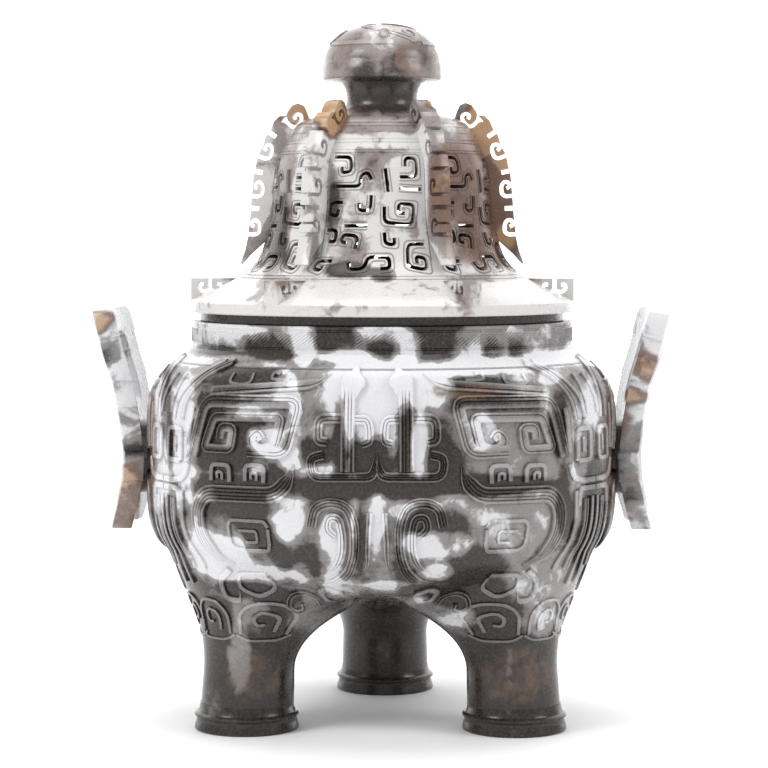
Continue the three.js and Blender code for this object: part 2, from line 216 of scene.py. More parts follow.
def lobe_share(z):
    """How much of the lobes' swelling there is at a height."""
    rise = min(1.0, max(0.0, (z - UNDERSIDE) / LOBE_RISE))
    fade = min(1.0, max(0.0, (LOBE_END - z) / LOBE_FADE))
    return rise * fade


bowl = spun("bowl", smooth_outline(bowl_outline, 3) + [Vector((0, 228))], 144)
for vertex in bowl.data.vertices:
    arm = vertex.co - AXIS
    reach = math.hypot(arm.x, arm.y)
    if reach < MM:
        continue
    wave = math.cos(LEG_COUNT * (math.atan2(arm.y, arm.x) - LEG_ANGLES[0]))
    push = 1 + (LOBE * lobe_share(arm.z / MM) * wave - RELIEF_ROOM) * MM / reach
    vertex.co.x = AXIS.x + arm.x * push
    vertex.co.y = AXIS.y + arm.y * push

# %% [markdown]
# ## The legs
# Each leg is a round pillar that leans out slightly and spreads into the bowl. It spreads widely on
# its inner side, where it becomes the arch between the legs, and little on its outer side. A pillar
# is spun about its own axis and its inner side is then drawn inwards.

# %% Three legs
ANKLE_CIRCLE = 90.0
FOOT_LEAN = 2.0
ANKLE_HEIGHT = 39.0
leg_outline = [(0, 0.6), (27.6, 0.6), (27.8, 12), (27.4, 24), (27, 39), (27.1, 47), (27.4, 53),
               (27.8, 59), (28.4, 64), (29.5, 69), (31, 74), (33.2, 80), (37.5, 90), (42, 100),
               (45, 110), (46, 125), (0, 125)]
inner_spread = [(39, 0), (47, 3.4), (53, 7.6), (59, 13.7), (64, 20.2), (69, 27.5), (74, 35), (80, 37),
                (90, 33), (100, 28), (110, 23), (125, 14)]


def read_curve(table, x):
    """The value at x on straight lines between a table's points."""
    if x <= table[0][0]:
        return table[0][1]
    for (x0, y0), (x1, y1) in zip(table, table[1:]):
        if x <= x1:
            return y0 + (y1 - y0) * (x - x0) / (x1 - x0)
    return table[-1][1]


def outward(angle):
    return Vector((math.cos(angle), math.sin(angle), 0))


def leg_centre(angle, z):
    lean = FOOT_LEAN * max(0.0, 1 - z / ANKLE_HEIGHT)
    return AXIS + outward(angle) * (ANKLE_CIRCLE + lean) * MM


def leg(angle):
    centre = leg_centre(angle, ANKLE_HEIGHT)
    outline = leg_outline[:2] + smooth_outline(leg_outline[2:-1], 3) + leg_outline[-1:]
    pillar = spun("leg", outline, 64, centre)
    for vertex in pillar.data.vertices:
        arm = vertex.co - centre
        z = arm.z / MM
        radius = math.hypot(arm.x, arm.y)
        if radius < MM:
            continue
        turn = math.atan2(arm.y, arm.x) - angle
        spread = read_curve(inner_spread, z) * MM * (1 - math.cos(turn)) / 2
        stretch = (radius + spread) / radius
        shift = leg_centre(angle, z) - centre
        vertex.co.x = centre.x + arm.x * stretch + shift.x
        vertex.co.y = centre.y + arm.y * stretch + shift.y
    return pillar


legs = [leg(angle) for angle in LEG_ANGLES]

# %% [markdown]
# ## One stone
# Bowl and legs were ground out of one block, so there is no seam between them. The four closed forms
# are joined and remeshed as one skin, and a few rounds of smoothing soften the creases between them
# as the stone's polish does. The hollow is then cut out: a straight mouth with a wider belly below.

# %% Fuse the bowl and legs, and hollow them
SKIN_SIZE = 2.7 * MM
stone = join([bowl] + legs, "vessel_stone")
apply_modifier(stone, "REMESH", mode="VOXEL", voxel_size=SKIN_SIZE)
apply_modifier(stone, "SMOOTH", factor=0.5, iterations=6)
hollow_outline = [(0, 88), (57, 88), (92, 96), (117, 112), (126, 130), (127.5, 151), (125.5, 202),
                  (118.6, 214), (104, 226), (104, 240), (0, 240)]
cut_away(stone, spun("hollow", hollow_outline, 96))
face_outwards(stone)
print("fused stone:", len(stone.data.polygons), "faces")

# %% [markdown]
# ## The collar and the feet
# The collar is an upright band with sharp edges and fine turned lines, and each foot has a raised ring
# with a hollow below it. These edges are too crisp for the remeshed skin, so they are spun on their
# own and sunk into it.

# %% Collar and foot rings
COLLAR_RADIUS = 115.0
COLLAR_WALL = 11.0


def grooves(radius, heights, depth=0.35, half=0.35):
    """Points of an upright wall, cut by small grooves at these heights, from low to high."""
    points = []
    for z in heights:
        points += [(radius, z - half), (radius - depth, z), (radius, z + half)]
    return points


collar_lines = [227.6, 228.6, 237.8, 238.8]
collar_inner = COLLAR_RADIUS - COLLAR_WALL
collar_outline = ([(collar_inner, 222), (COLLAR_RADIUS + 0.4, 222.6)]
                  + grooves(COLLAR_RADIUS, collar_lines)
                  + [(COLLAR_RADIUS, COLLAR_TOP - 0.6), (COLLAR_RADIUS - 0.6, COLLAR_TOP),
                     (collar_inner + 0.6, COLLAR_TOP), (collar_inner, COLLAR_TOP - 0.6), (collar_inner, 222)])
collar = spun("collar", collar_outline, 192)

foot_outline = [(0, 0), (30.2, 0), (31, 0.8), (30.8, 2.6), (30.1, 4.6), (29.6, 6.6), (29.9, 7.7),
                (30.9, 8.5), (31, 9.6), (30.2, 10.4), (28.9, 10.9), (28.2, 12.4), (27.6, 16), (0, 16)]
feet = [spun("foot", foot_outline, 72, leg_centre(angle, 4)) for angle in LEG_ANGLES]

# %% [markdown]
# ## Raised bands
# The masks on the bowl are flat raised bands with lines cut along them. A band is drawn as a path in
# millimetres along the belly and in height, its corners are rounded, and a small cross-section is
# carried along it. Each point is then dropped onto the stone by a ray towards the axis, so the band
# follows every curve of the bowl, and its underside is sunk into the stone.

# %% Helpers for raised bands
MISSED = 0.08     # metres from the axis, where a ray that meets no stone ends


def rounded(corners, radius, step):
    """Points along a path with rounded corners, no further apart than step."""
    pins = [Vector(corner) for corner in corners]
    soft = [pins[0]]
    for before, pin, after in zip(pins, pins[1:], pins[2:]):
        reach = min(radius, (pin - before).length * 0.48, (after - pin).length * 0.48)
        arrive = pin + (before - pin).normalized() * reach
        leave = pin + (after - pin).normalized() * reach
        for k in range(5):
            t = k / 4
            soft.append(arrive * (1 - t) ** 2 + pin * 2 * t * (1 - t) + leave * t * t)
    soft.append(pins[-1])
    points = [soft[0]]
    for start, end in zip(soft, soft[1:]):
        parts = max(1, math.ceil((end - start).length / step))
        points += [start.lerp(end, k / parts) for k in range(1, parts + 1)]
    return [p for i, p in enumerate(points) if i == 0 or (p - points[i - 1]).length > 0.05]


def band_section(width, rise, sink, lines=()):
    """Across, height and painted light of a band's skin: a painted highlight on the eased edges, painted
    shade at the foot and in the cuts at the given offsets.
    """
    half = width / 2
    ease = min(0.8, half * 0.35)
    # The third number of each point is painted light: a highlight on the eased edges, shade at the foot and
    # in the cuts.
    skin = [(-half, -sink, -1), (-half, rise - ease, 0.3), (-half + ease * 0.7, rise, 1)]
    for line in lines:
        skin += [(line - 0.45, rise, 0.3), (line, rise - 0.7, -0.7), (line + 0.45, rise, 0.3)]
    return skin + [(half - ease * 0.7, rise, 1), (half, rise - ease, 0.3), (half, -sink, -1)]


def thin_line(width, rise, painted_light_and_shade):
    """The skin of a fine line with one value of painted light; below zero it darkens the line as painted
    shade.
    """
    half = width / 2
    return [(-half, -0.7, painted_light_and_shade), (-half * 0.6, rise, painted_light_and_shade), (half * 0.6, rise, painted_light_and_shade), (half, -0.7, painted_light_and_shade)]


def band(points, section, place, tip=0.0, pointed=0.0):
    """Carries a section along a path. place(x, y, lift) gives the point in space. A share of the
    path tapers at its start (tip) and at its end (pointed)."""
    vertices, faces, light_and_shade_values = [], [], []
    count = len(section)
    last = len(points) - 1
    for i, point in enumerate(points):
        arrive = (points[1] - point if i == 0 else point - points[i - 1]).normalized()
        leave = arrive if i == last else (points[i + 1] - point).normalized()
        mitre = (arrive + leave).normalized()
        side = Vector((-mitre.y, mitre.x)) / max(0.6, mitre.dot(arrive))
        share = 1.0
        if i < last * tip:
            share = max(0.12, i / (last * tip))
        if i > last * (1 - pointed):
            share = max(0.12, (last - i) / (last * pointed))
        for across, lift, painted_light_and_shade in section:
            spot = point + side * across * share
            vertices.append(place(spot.x, spot.y, lift if lift < 0 else lift * (0.4 + 0.6 * share)))
            light_and_shade_values.append(painted_light_and_shade)
        if i:
            low = (i - 1) * count
            for k in range(count):
                j = (k + 1) % count
                faces.append((low + k, low + j, low + count + j, low + count + k))
    faces.append(tuple(range(count - 1, -1, -1)))
    faces.append(tuple(range(last * count, last * count + count)))
    return vertices, faces, light_and_shade_values


def store(obj, name, values):
    """Keeps one number for each point of a mesh, for the material to read."""
    layer = obj.data.attributes.new(name, "FLOAT", "POINT")
    layer.data.foreach_set("value", values)


def gather(name, bands):
    """One object from many bands, with their painted highlights and painted shade stored on its points."""
    vertices, faces, light_and_shade_values = [], [], []
    for more_vertices, more_faces, more_light_and_shade_values in bands:
        start = len(vertices)
        vertices += more_vertices
        light_and_shade_values += more_light_and_shade_values
        faces += [tuple(start + i for i in face) for face in more_faces]
    obj = mesh_object(name, vertices, faces)
    store(obj, "painted_light_and_shade", light_and_shade_values)
    face_outwards(obj, merge=False)
    return obj


def skin_tree(obj):
    return BVHTree.FromPolygons([v.co.copy() for v in obj.data.vertices],
                                [tuple(p.vertices) for p in obj.data.polygons])


def drop_on(tree, angle, height, lift, start=0.2):
    """The point of the skin met on the way in to the axis, from start (m), moved off it by lift (mm)."""
    out = outward(angle)
    origin = AXIS + out * start + Vector((0, 0, height * MM))
    hit, normal, _, _ = tree.ray_cast(origin, -out)
    if hit is None:
        return origin - out * (start - MISSED)
    if normal.dot(out) < 0:
        normal = -normal
    return hit + normal * lift * MM

# %% [markdown]
# ## The masks
# Between two legs stands a nose: two ridges crowned by leaves, with hooks to both sides and a trough
# below. Beyond it lies half a mask: a horn, a frame that winds into a round and a square spiral, two
# small eyes, a lower horn that runs into the cheek, and a jaw. The other half is its mirror image at
# the leg's line, so six half masks go round the bowl and only one is drawn.

# %% Half a mask, drawn once
BAND_RISE = 1.9
BAND_SINK = 1.6
BAND_STEP = 5.0


def stroke(path, width, lines=(), turn=1, rise=BAND_RISE, tip=0, pointed=0):
    """One raised band: its path, its width, the lines cut along it, and its corners, rise and tapers."""
    return {"path": path, "width": width, "lines": lines, "turn": turn, "rise": rise, "tip": tip,
            "pointed": pointed}


NOSE = [
    stroke([(17, 209), (17, 161)], 8.6, lines=(-2.1, -0.4, 1.9), rise=2.5),
    stroke([(12.4, 219), (14, 212), (15.2, 204), (14.4, 194.6)], 14.5, rise=2.9, turn=9, tip=0.22,
           pointed=0.6),
    stroke([(14, 190), (5.4, 190), (4.2, 184), (4.4, 177.6), (8.8, 176.4)], 5.4, lines=(-0.9, 0.9),
           turn=5),
    stroke([(20.6, 190.6), (34.4, 190.6), (34.4, 178), (29, 177.4)], 6, lines=(-1.1, 0.9), turn=5),
    stroke([(0.9, 171), (1.8, 158), (37.6, 157.6), (39, 168.6), (31, 170.4)], 6, lines=(-1.2, 0.2, 1.4),
           turn=5, tip=0.12),
]
FACE = [
    stroke([(28.6, 215), (34, 210.6), (43, 208.4), (56, 207.6), (106, 203.6)], 5.6,
           lines=(-0.8,), turn=9, rise=2, tip=0.3),
    stroke([(54, 211), (60, 210.8), (66.6, 211.4), (66.4, 215), (61.6, 214.4)], 1.9, turn=3, rise=1.2),
    stroke([(80.5, 214), (79.5, 209), (87, 207.4), (95.6, 208.8), (95.4, 214)], 1.9, turn=4, rise=1.2),
    stroke([(77, 171.4), (54, 171), (46.6, 199.2), (107.4, 198.2), (116.6, 167)], 7.6,
           lines=(0.2, 2.1), turn=6, rise=2.4),
    stroke([(68, 178), (70.4, 182), (75.4, 177.4), (70, 172.2), (60.4, 174.2), (56.6, 190.6), (99.8, 189.8),
            (107, 171.8), (88.4, 171.8), (86.2, 184.2), (94.8, 184.2), (95.4, 177.6)],
           5.6, lines=(1.2,), turn=3.2, rise=2.3),
    stroke([(66.8, 153.6), (66.4, 163.4), (78.4, 163.4), (78.4, 154.4)], 2.8, turn=3.4, rise=2),
    stroke([(71.2, 154.6), (71.2, 159), (75, 159), (74.8, 155.4)], 2, turn=1.8, rise=1.5),
    stroke([(88.6, 153.4), (89, 162.8), (101.6, 162.8), (101.6, 153.6)], 2.8, turn=3.4, rise=2),
    stroke([(94, 154.4), (94.2, 158.8), (98, 158.6), (97.4, 155)], 2, turn=1.8, rise=1.5),
    stroke([(49, 164.6), (51.8, 155), (60, 147), (106, 146.4), (112.8, 138), (113, 123), (106, 109.6),
            (97, 105)],
           10, lines=(-3, -1.2, 0.8, 2.8), turn=8, rise=2.3, tip=0.12, pointed=0.14),
    stroke([(64.8, 128.5), (67, 131.8), (88.8, 131.8), (90.8, 129), (90.6, 117.4), (86, 114.6), (66.4, 115),
            (64.8, 118.4), (64.8, 127.6)], 2.2, turn=3, rise=1.5),
    stroke([(84.5, 126), (72.4, 126), (72.4, 119.6), (80, 119.4)], 1.8, turn=2, rise=1.2),
]
SCROLLS = [
    stroke([(25, 124.6), (29.8, 128.6), (28, 135.6), (22, 135), (19.8, 125), (20.8, 114.5), (26, 106.4),
            (36, 101.4)],
           5.2, lines=(-0.8, 1), turn=6, rise=2.2, pointed=0.2),
    stroke([(38.4, 130), (36, 140.6), (28, 143.8), (17.6, 142), (13, 131), (13.4, 114.6), (19, 102.6),
            (29.4, 96.4), (43, 95.8)], 6.4, lines=(-1.9, -0.3, 1.5), turn=9, rise=2.2, pointed=0.18),
    stroke([(4.4, 138), (5.4, 122), (6, 108), (10.5, 97)], 3.6, turn=8, rise=1.7, pointed=0.5,
           lines=(0,)),
    stroke([(30.5, 86.5), (39.5, 91.6), (50, 88.6), (51, 81.6), (45, 80.6)], 3.4, turn=5,
           rise=1.7, pointed=0.2),
    stroke([(78, 99.4), (100, 98.6), (101, 90), (89, 84.6), (78.4, 90.4), (78, 98.2)], 2.6, turn=5,
           rise=1.5),
    stroke([(55, 79), (57, 85.4), (64, 88), (71.6, 85.4), (74, 79), (70, 75.4), (65, 77), (65.4, 80.6)],
           3, lines=(0.2,), turn=5, rise=1.6),
    stroke([(104, 101), (114, 93.6), (113, 83), (103, 82), (101.6, 88)], 3.6, turn=5, rise=1.7,
           pointed=0.2),
]
LEG_LINE = [
    stroke([(128, 163.2), (128, 181.6), (141, 181.6), (141, 163.2), (128.6, 163.2)], 3, turn=3.4),
    stroke([(134.6, 168), (134.6, 176.6)], 2.6, rise=1.2),
    stroke([(121.4, 162), (124.8, 153.6), (133, 151.4), (145.6, 151.6)], 3.8, turn=7),
    stroke([(129.6, 137), (129.8, 147), (145.6, 147)], 3.6, turn=4),
    stroke([(136.4, 141), (136.6, 120), (132.6, 100)], 4.4, lines=(0,), turn=9),
    stroke([(143, 142), (143, 118), (141, 90)], 3, turn=9),
    stroke([(127, 146), (127.6, 124), (123, 100)], 3.2, turn=9, rise=1.5),
    stroke([(103.6, 219.6), (117, 212.6), (126, 201), (128.4, 187)], 4, lines=(0,), turn=14,
           rise=1.7),
    stroke([(112, 219.8), (124, 213), (134, 200.6), (136.6, 187)], 2.6, turn=14, rise=1.4),
    stroke([(140, 212), (140, 190)], 2.8, rise=1.4),
    stroke([(118.6, 194), (121.6, 168)], 3.4, rise=1.5),
]
HALF_MASK = NOSE + FACE + SCROLLS + LEG_LINE
print("strokes in half a mask:", len(HALF_MASK))

# %% [markdown]
# ## The masks round the bowl
# The half is laid to both sides of each valley between two legs, so that two halves meet at each leg
# and make a whole mask there. Every stroke is dropped on the stone point by point.

# %% Six half masks
stone_tree = skin_tree(stone)


def bowl_place(start, side):
    """Places points by mm along the belly from an angle, to one side of it."""
    def place(along, height, lift):
        return drop_on(stone_tree, start + side * along / BELLY, height, lift)
    return place


def carved(strokes, place):
    """The bands of some strokes."""
    bands = []
    for shape in strokes:
        section = band_section(shape["width"], shape["rise"], BAND_SINK, shape["lines"])
        path = rounded(shape["path"], shape["turn"], BAND_STEP)
        bands.append(band(path, section, place, shape["tip"], shape["pointed"]))
    return bands


relief = []
for leg_angle in LEG_ANGLES:
    valley = leg_angle + math.pi / LEG_COUNT
    for side in (-1, 1):
        relief += carved(HALF_MASK, bowl_place(valley, side))
print("mask bands:", len(relief))

# %% [markdown]
# ## Arches round the leg tops
# Where a leg leaves the bowl the masks end in a row of arches, each with a curl in it, over a
# scalloped edge, and below them the leg is plain. One arch is drawn and set four times round the
# outer side of each leg, and two of the four are mirrored. A fine line also runs round the shoulder.
# A band that missed the stone would stretch across the vessel, so the longest edge is printed.

# %% Arches, curls and the shoulder line
LEG_ROUND = 29.0
LEG_STATIONS = (-39, -11, 11, 39)
LEG_STROKES = [
    stroke([(-11, 61), (-11, 74), (-5, 81), (5, 81), (11, 74), (11, 61)], 1.9, turn=5, rise=1.2),
    stroke([(5, 63), (5.6, 73), (-2, 75.6), (-5, 71), (-3, 66.6), (0.4, 67.6)], 1.8, turn=4, rise=1.1),
    stroke([(-13.6, 60.4), (-8, 57), (8, 57), (13.6, 60.4)], 1.6, turn=6, rise=1),
]
LEG_RAY_START = 0.062     # metres from the leg's middle, outside its skin
SHOULDER_LINE = 217.4


def leg_place(leg_angle, middle, side):
    """Places points by mm round a leg, from the middle of an arch, to one side of it."""
    def place(along, height, lift):
        out = outward(leg_angle + (middle + side * along) / LEG_ROUND)
        origin = leg_centre(leg_angle, height) + out * LEG_RAY_START + Vector((0, 0, height * MM))
        hit, normal, _, _ = stone_tree.ray_cast(origin, -out)
        return hit + (normal if normal.dot(out) > 0 else -normal) * lift * MM
    return place


for leg_angle in LEG_ANGLES:
    for shape in LEG_STROKES:
        for middle in LEG_STATIONS:
            side = 1 if middle > 0 else -1
            relief += carved([shape], leg_place(leg_angle, middle, side))
circle = [Vector((BELLY * math.radians(a), SHOULDER_LINE)) for a in range(0, 361, 3)]
# The shoulder line is darkened all over by painted shade.
relief.append(band(circle, thin_line(1.3, 0.3, -1), bowl_place(0, 1)))
masks = gather("masks", relief)
print("relief bands:", len(relief), "faces:", len(masks.data.polygons))


def longest_edge(obj):
    """The longest edge of a mesh, in mm."""
    points = [v.co for v in obj.data.vertices]
    return max((points[a] - points[b]).length for a, b in (edge.vertices for edge in obj.data.edges)) / MM


print("longest edge of the relief:", round(longest_edge(masks), 1), "mm")

# %% [markdown]
# ## Hatching on the collar
# Between two turned lines the collar is hatched: fine ridges that all rise to the right. Seen from a
# step away they make a grey, silky band, with a painted highlight on each crest and painted shade on each
# flank.

# %% Slanting ridges round the collar
HATCH_COUNT = 270
HATCH_LOW, HATCH_HIGH = 229.2, 237.2
HATCH_LEAN = 11.0


def collar_place(along, height, lift):
    out = outward(along / COLLAR_RADIUS)
    return AXIS + out * (COLLAR_RADIUS + lift) * MM + Vector((0, 0, height * MM))


hatch_pitch = 2 * math.pi * COLLAR_RADIUS / HATCH_COUNT
# Painted light on each ridge: a highlight on its crest, shade on its flanks.
hatch_section = [(-0.55, -0.4, -0.6), (0, 0.34, 0.8), (0.55, -0.4, -0.6)]
hatch_bands = []
for k in range(HATCH_COUNT):
    low = Vector((k * hatch_pitch, HATCH_LOW))
    high = Vector((k * hatch_pitch + HATCH_LEAN, HATCH_HIGH))
    hatch_bands.append(band([low.lerp(high, i / 4) for i in range(5)], hatch_section, collar_place))
hatching = gather("hatching", hatch_bands)
print("hatching faces:", len(hatching.data.polygons))

# %% [markdown]
# ## The handles
# A handle is an upright plate with a long opening, standing off the belly on a thick stem. It leans
# out at the top and at the forked tail, so from the front it looks like a bracket. The plate is drawn
# flat with its opening and its fork, sliced both ways, and bent to the curve and round the bowl.

# %% Two handles
HANDLE_THICKNESS = 12.0
HANDLE_WRAP = 5.0
HANDLE_HALF = 41.0
HANDLE_BEND = 205.0     # above this the plate's end tilts with its lean
HANDLE_BEND_ROOM = 20.0
STEM_PLACE = (141, 0, 158.5)
STEM_SIZE = (22, 34, 43)
handle_curve = [(117, 152), (130, 149), (146, 146), (163, 145), (181, 147), (205, 151.5), (220, 156),
                (234, 159.6), (249, 163.4)]
handle_half = [(0, HANDLE_TOP), (34, HANDLE_TOP), (38.6, 247.6), (40.6, 244), (40.6, 233.4),
               (38.8, 232.4), (39.8, 206.8), (37.6, 205.8), (37.6, 190.6), (36.2, 189.6),
               (36.2, 164.4), (41, 163.4), (41, 147), (38, 146), (29, 117), (18, 117), (12, 126),
               (0, 140)]
handle_opening = [(0, 190), (17, 190), (17, 234), (-17, 234), (-17, 190), (0, 190)]


def flat_plate(name, outline, holes, thickness, ease):
    """A plate of even thickness in the XY plane, in mm, from its outline and its holes."""
    curve = bpy.data.curves.new(name, "CURVE")
    curve.dimensions = "2D"
    curve.fill_mode = "BOTH"
    curve.extrude = thickness / 2 - ease
    curve.bevel_depth = ease
    curve.bevel_resolution = 1
    curve.offset = -ease
    for loop in [outline] + holes:
        spline = curve.splines.new("POLY")
        spline.points.add(len(loop) - 1)
        spline.use_cyclic_u = True
        for point, (x, y) in zip(spline.points, loop):
            point.co = (x, y, 0, 1)
    only(in_scene(name, curve))
    bpy.ops.object.convert(target="MESH")
    face_outwards(bpy.context.object)
    return bpy.context.object


def sliced(obj, low, high, step, normal=(0, 1, 0)):
    """Cuts a mesh across by level planes, so that it can bend."""
    shape = bmesh.new()
    shape.from_mesh(obj.data)
    level = low
    while level < high:
        spot = Vector(normal) * level
        everything = shape.verts[:] + shape.edges[:] + shape.faces[:]
        bmesh.ops.bisect_plane(shape, geom=everything, plane_co=spot, plane_no=normal)
        level += step
    shape.to_mesh(obj.data)
    shape.free()


def handle(side):
    outline = handle_half + [(-y, z) for y, z in reversed(handle_half[1:-1])]
    loop = rounded(handle_opening, 9, 40)
    plate = flat_plate("handle", outline, [[(p.x, p.y) for p in loop[:-1]]], HANDLE_THICKNESS, 0.8)
    sliced(plate, 118, HANDLE_TOP, 6)
    sliced(plate, -36, 37, 9, (1, 0, 0))
    for vertex in plate.data.vertices:
        y, z, depth = vertex.co
        lean = (read_curve(handle_curve, z + 4) - read_curve(handle_curve, z - 4)) / 8
        share = min(1.0, max(0.0, (z - HANDLE_BEND) / HANDLE_BEND_ROOM))
        tilt = lean * (depth + HANDLE_THICKNESS / 2) * share
        wrap = HANDLE_WRAP * (y / HANDLE_HALF) ** 2
        x = read_curve(handle_curve, z) + HANDLE_THICKNESS / 2 + depth - wrap
        vertex.co = AXIS + Vector((side * x, y, z - tilt)) * MM
    face_outwards(plate)
    return plate


def stem(side):
    bpy.ops.object.select_all(action="DESELECT")
    across, along, height = STEM_PLACE
    bpy.ops.mesh.primitive_cube_add(size=1, location=AXIS + Vector((side * across, along, height)) * MM)
    block = bpy.context.object
    block.name = "handle_stem"
    block.scale = [size * MM for size in STEM_SIZE]
    bpy.ops.object.transform_apply(location=True, rotation=True, scale=True)
    apply_modifier(block, "BEVEL", width=5 * MM, segments=3)
    return block


handles = [make(side) for side in (-1, 1) for make in (handle, stem)]
print("handle faces:", [len(part.data.polygons) for part in handles])

# %% [markdown]
# ## The vessel as one piece
# All of these are cut from one stone, so they become one object. It rides on the root body and
# stands for the vessel's solid.

# %% Join the vessel
vessel = join([stone, collar, hatching, masks] + feet + handles, "vessel_carved")
vessel.data.name = "vessel_carved"
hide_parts("vessel")
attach(vessel, "root")


def triangle_count(obj):
    return sum(len(p.vertices) - 2 for p in obj.data.polygons)


print("vessel triangles:", triangle_count(vessel))

# %% [markdown]
# ## The lid's dome
# The dome is bell-shaped, about six millimetres thick, and widens into a flat flange. Under it a seat
# ring rests on the collar and a spigot drops into the mouth. Fine lines are turned into the dome
# above and below the pierced panels. It is spun in one go with its neck and its knob.

# %% Dome, flange, neck and knob
FLANGE_RADIUS = 116.0
SEAT = COLLAR_TOP + 0.3
FLANGE_LOW = SEAT + 5.2
FLANGE_TOP = FLANGE_LOW + 6.5
DOME_HEIGHT = 109.0
DOME_TOP = FLANGE_TOP + DOME_HEIGHT
DOME_WAIST = 65.6
dome_shape = [(0.71, 0), (0.81, 0.045), (0.89, 0.138), (0.945, 0.195), (0.98, 0.266), (0.995, 0.34),
              (1, 0.413), (1.012, 0.5), (1.034, 0.58), (1.069, 0.66), (1.1, 0.72), (1.148, 0.78),
              (1.26, 0.848), (1.42, 0.9), (1.573, 0.945)]
dome_outer = smooth_outline([(r * DOME_WAIST, DOME_TOP - down * DOME_HEIGHT) for r, down in dome_shape], 4)


def with_lines(points, heights, depth=0.35, half=0.4):
    """Adds small grooves to an outline that runs downwards."""
    cut = list(points)
    for z in heights:
        i = next(k for k in range(len(cut) - 1) if cut[k].y >= z > cut[k + 1].y)
        share = (cut[i].y - z) / (cut[i].y - cut[i + 1].y)
        spot = cut[i].lerp(cut[i + 1], share)
        along = (cut[i + 1] - cut[i]).normalized() * half
        inward = Vector((along.y, -along.x)).normalized() * depth
        cut[i + 1:i + 1] = [spot - along, spot + inward, spot + along]
    return sorted(cut, key=lambda p: -p.y)


dome_lines = [DOME_TOP - d for d in (3.5, 5.6, 9.2, 13.4, 15.2, 19.6, 21.2, 92.6, 94.4)]
dome_outer = with_lines(dome_outer, dome_lines)
flange_edge = [(115.2, FLANGE_TOP + 0.4), (FLANGE_RADIUS, FLANGE_TOP - 0.4),
               (FLANGE_RADIUS, FLANGE_LOW + 0.6), (115.4, FLANGE_LOW), (110, FLANGE_LOW),
               (110, SEAT + 0.4), (109.6, SEAT), (102.5, SEAT), (102.5, SEAT - 7.6),
               (101.8, SEAT - 8.3), (96, SEAT - 8.3)]
dome_inner = [(95.5, FLANGE_TOP), (84, 259), (76.5, 266.5), (69.5, 276.5), (64, 289), (61, 303),
              (59.6, 317), (58.3, 330.5), (52.5, 344), (41, 354.5), (0, 358)]
KNOB_TOP = PEAK - 0.9     # room for the whorl
knob = [(0, KNOB_TOP), (8, KNOB_TOP - 0.5), (15.5, KNOB_TOP - 1.9), (22.3, KNOB_TOP - 4.4),
        (27.2, KNOB_TOP - 7.7), (30.8, KNOB_TOP - 11.4), (33, KNOB_TOP - 15.2), (34.4, KNOB_TOP - 19),
        (34.9, KNOB_TOP - 22.6)]
knob_band = [(35.8, KNOB_TOP - 24.4), (35.8, KNOB_TOP - 32.5), (35, KNOB_TOP - 33.3),
             (26.8, KNOB_TOP - 33.6), (24, KNOB_TOP - 35.2), (22.2, KNOB_TOP - 38.6),
             (21.3, KNOB_TOP - 43), (21.3, KNOB_TOP - 46.6), (22.2, DOME_TOP + 7.4),
             (24.4, DOME_TOP + 5.2), (31, DOME_TOP + 3.6), (38.7, DOME_TOP + 1.8)]
lid_outline = (smooth_outline(knob, 3) + [Vector(p) for p in knob_band] + dome_outer
               + [Vector(p) for p in flange_edge + dome_inner])
dome = spun("lid_stone", lid_outline, 180)

# %% [markdown]
# ## The pierced panels
# Each of the six panels between the fins is sawn through with narrow slots: hooks, bars and squared
# spirals. A slot is a tall narrow band that runs from inside the dome to outside it, and all of them
# are taken out of the dome in one cut.

# %% Slots of one panel and their cut
LID_TURN = math.radians(-2)
FIN_COUNT = 6
SLOT_WIDTH = 2.1
SLOT_CORNER = 3.2
SLOT_INNER, SLOT_OUTER = 44, 100     # the cut runs between these, from the axis
SLOTS = [
    [(-26, 24), (-15.4, 24), (-14.6, 32.4), (-20.4, 33.2), (-20.6, 29.6)],
    [(-26.4, 41), (-9.2, 41), (-9.2, 34.6), (-4.6, 32.8), (-2.6, 37.4)],
    [(5.6, 30.6), (7.4, 44.4)],
    [(14, 35.6), (24.4, 35.6), (24.4, 24.6), (17.6, 24.6), (17.6, 29.6)],
    [(13.6, 42), (27.4, 42.8)],
    [(-19.4, 50.4), (-27, 50.4), (-27.4, 57.4), (-22.6, 58.4), (-22, 54.4)],
    [(-2.6, 46.2), (-3.2, 55), (-9.6, 55.2), (-9.8, 50.8)],
    [(5, 52.8), (5, 62), (20.8, 63.4), (22.6, 51.6), (13.2, 51.2), (13.2, 56.6), (17, 56.8)],
    [(-18, 64), (-4.6, 64)],
    [(-28.4, 66.4), (-22, 66.4), (-22.6, 73.4), (-26.4, 73)],
    [(-11, 77.4), (-9.6, 70), (-18, 69), (-19.2, 73.2), (-15.6, 74)],
    [(5, 67.8), (5.4, 74.4), (10.6, 75), (10.4, 71)],
    [(-22.4, 84.4), (-30, 84.4), (-32.2, 88.4), (-27.4, 90), (-26.8, 86.6)],
    [(-13.4, 85), (-12.4, 89.4), (-5, 88.6), (-4, 82), (7.4, 82), (7.6, 88.4), (2.8, 88.8)],
    [(27, 74.6), (17.6, 74.6), (16.8, 87.4), (26, 89.6), (26.8, 82.8), (21.4, 81.6), (21.8, 86)],
]


def panel_place(panel):
    def place(along, down, reach):
        angle = panel + along / DOME_WAIST
        return AXIS + Vector((math.cos(angle) * reach, math.sin(angle) * reach, DOME_TOP - down)) * MM
    return place


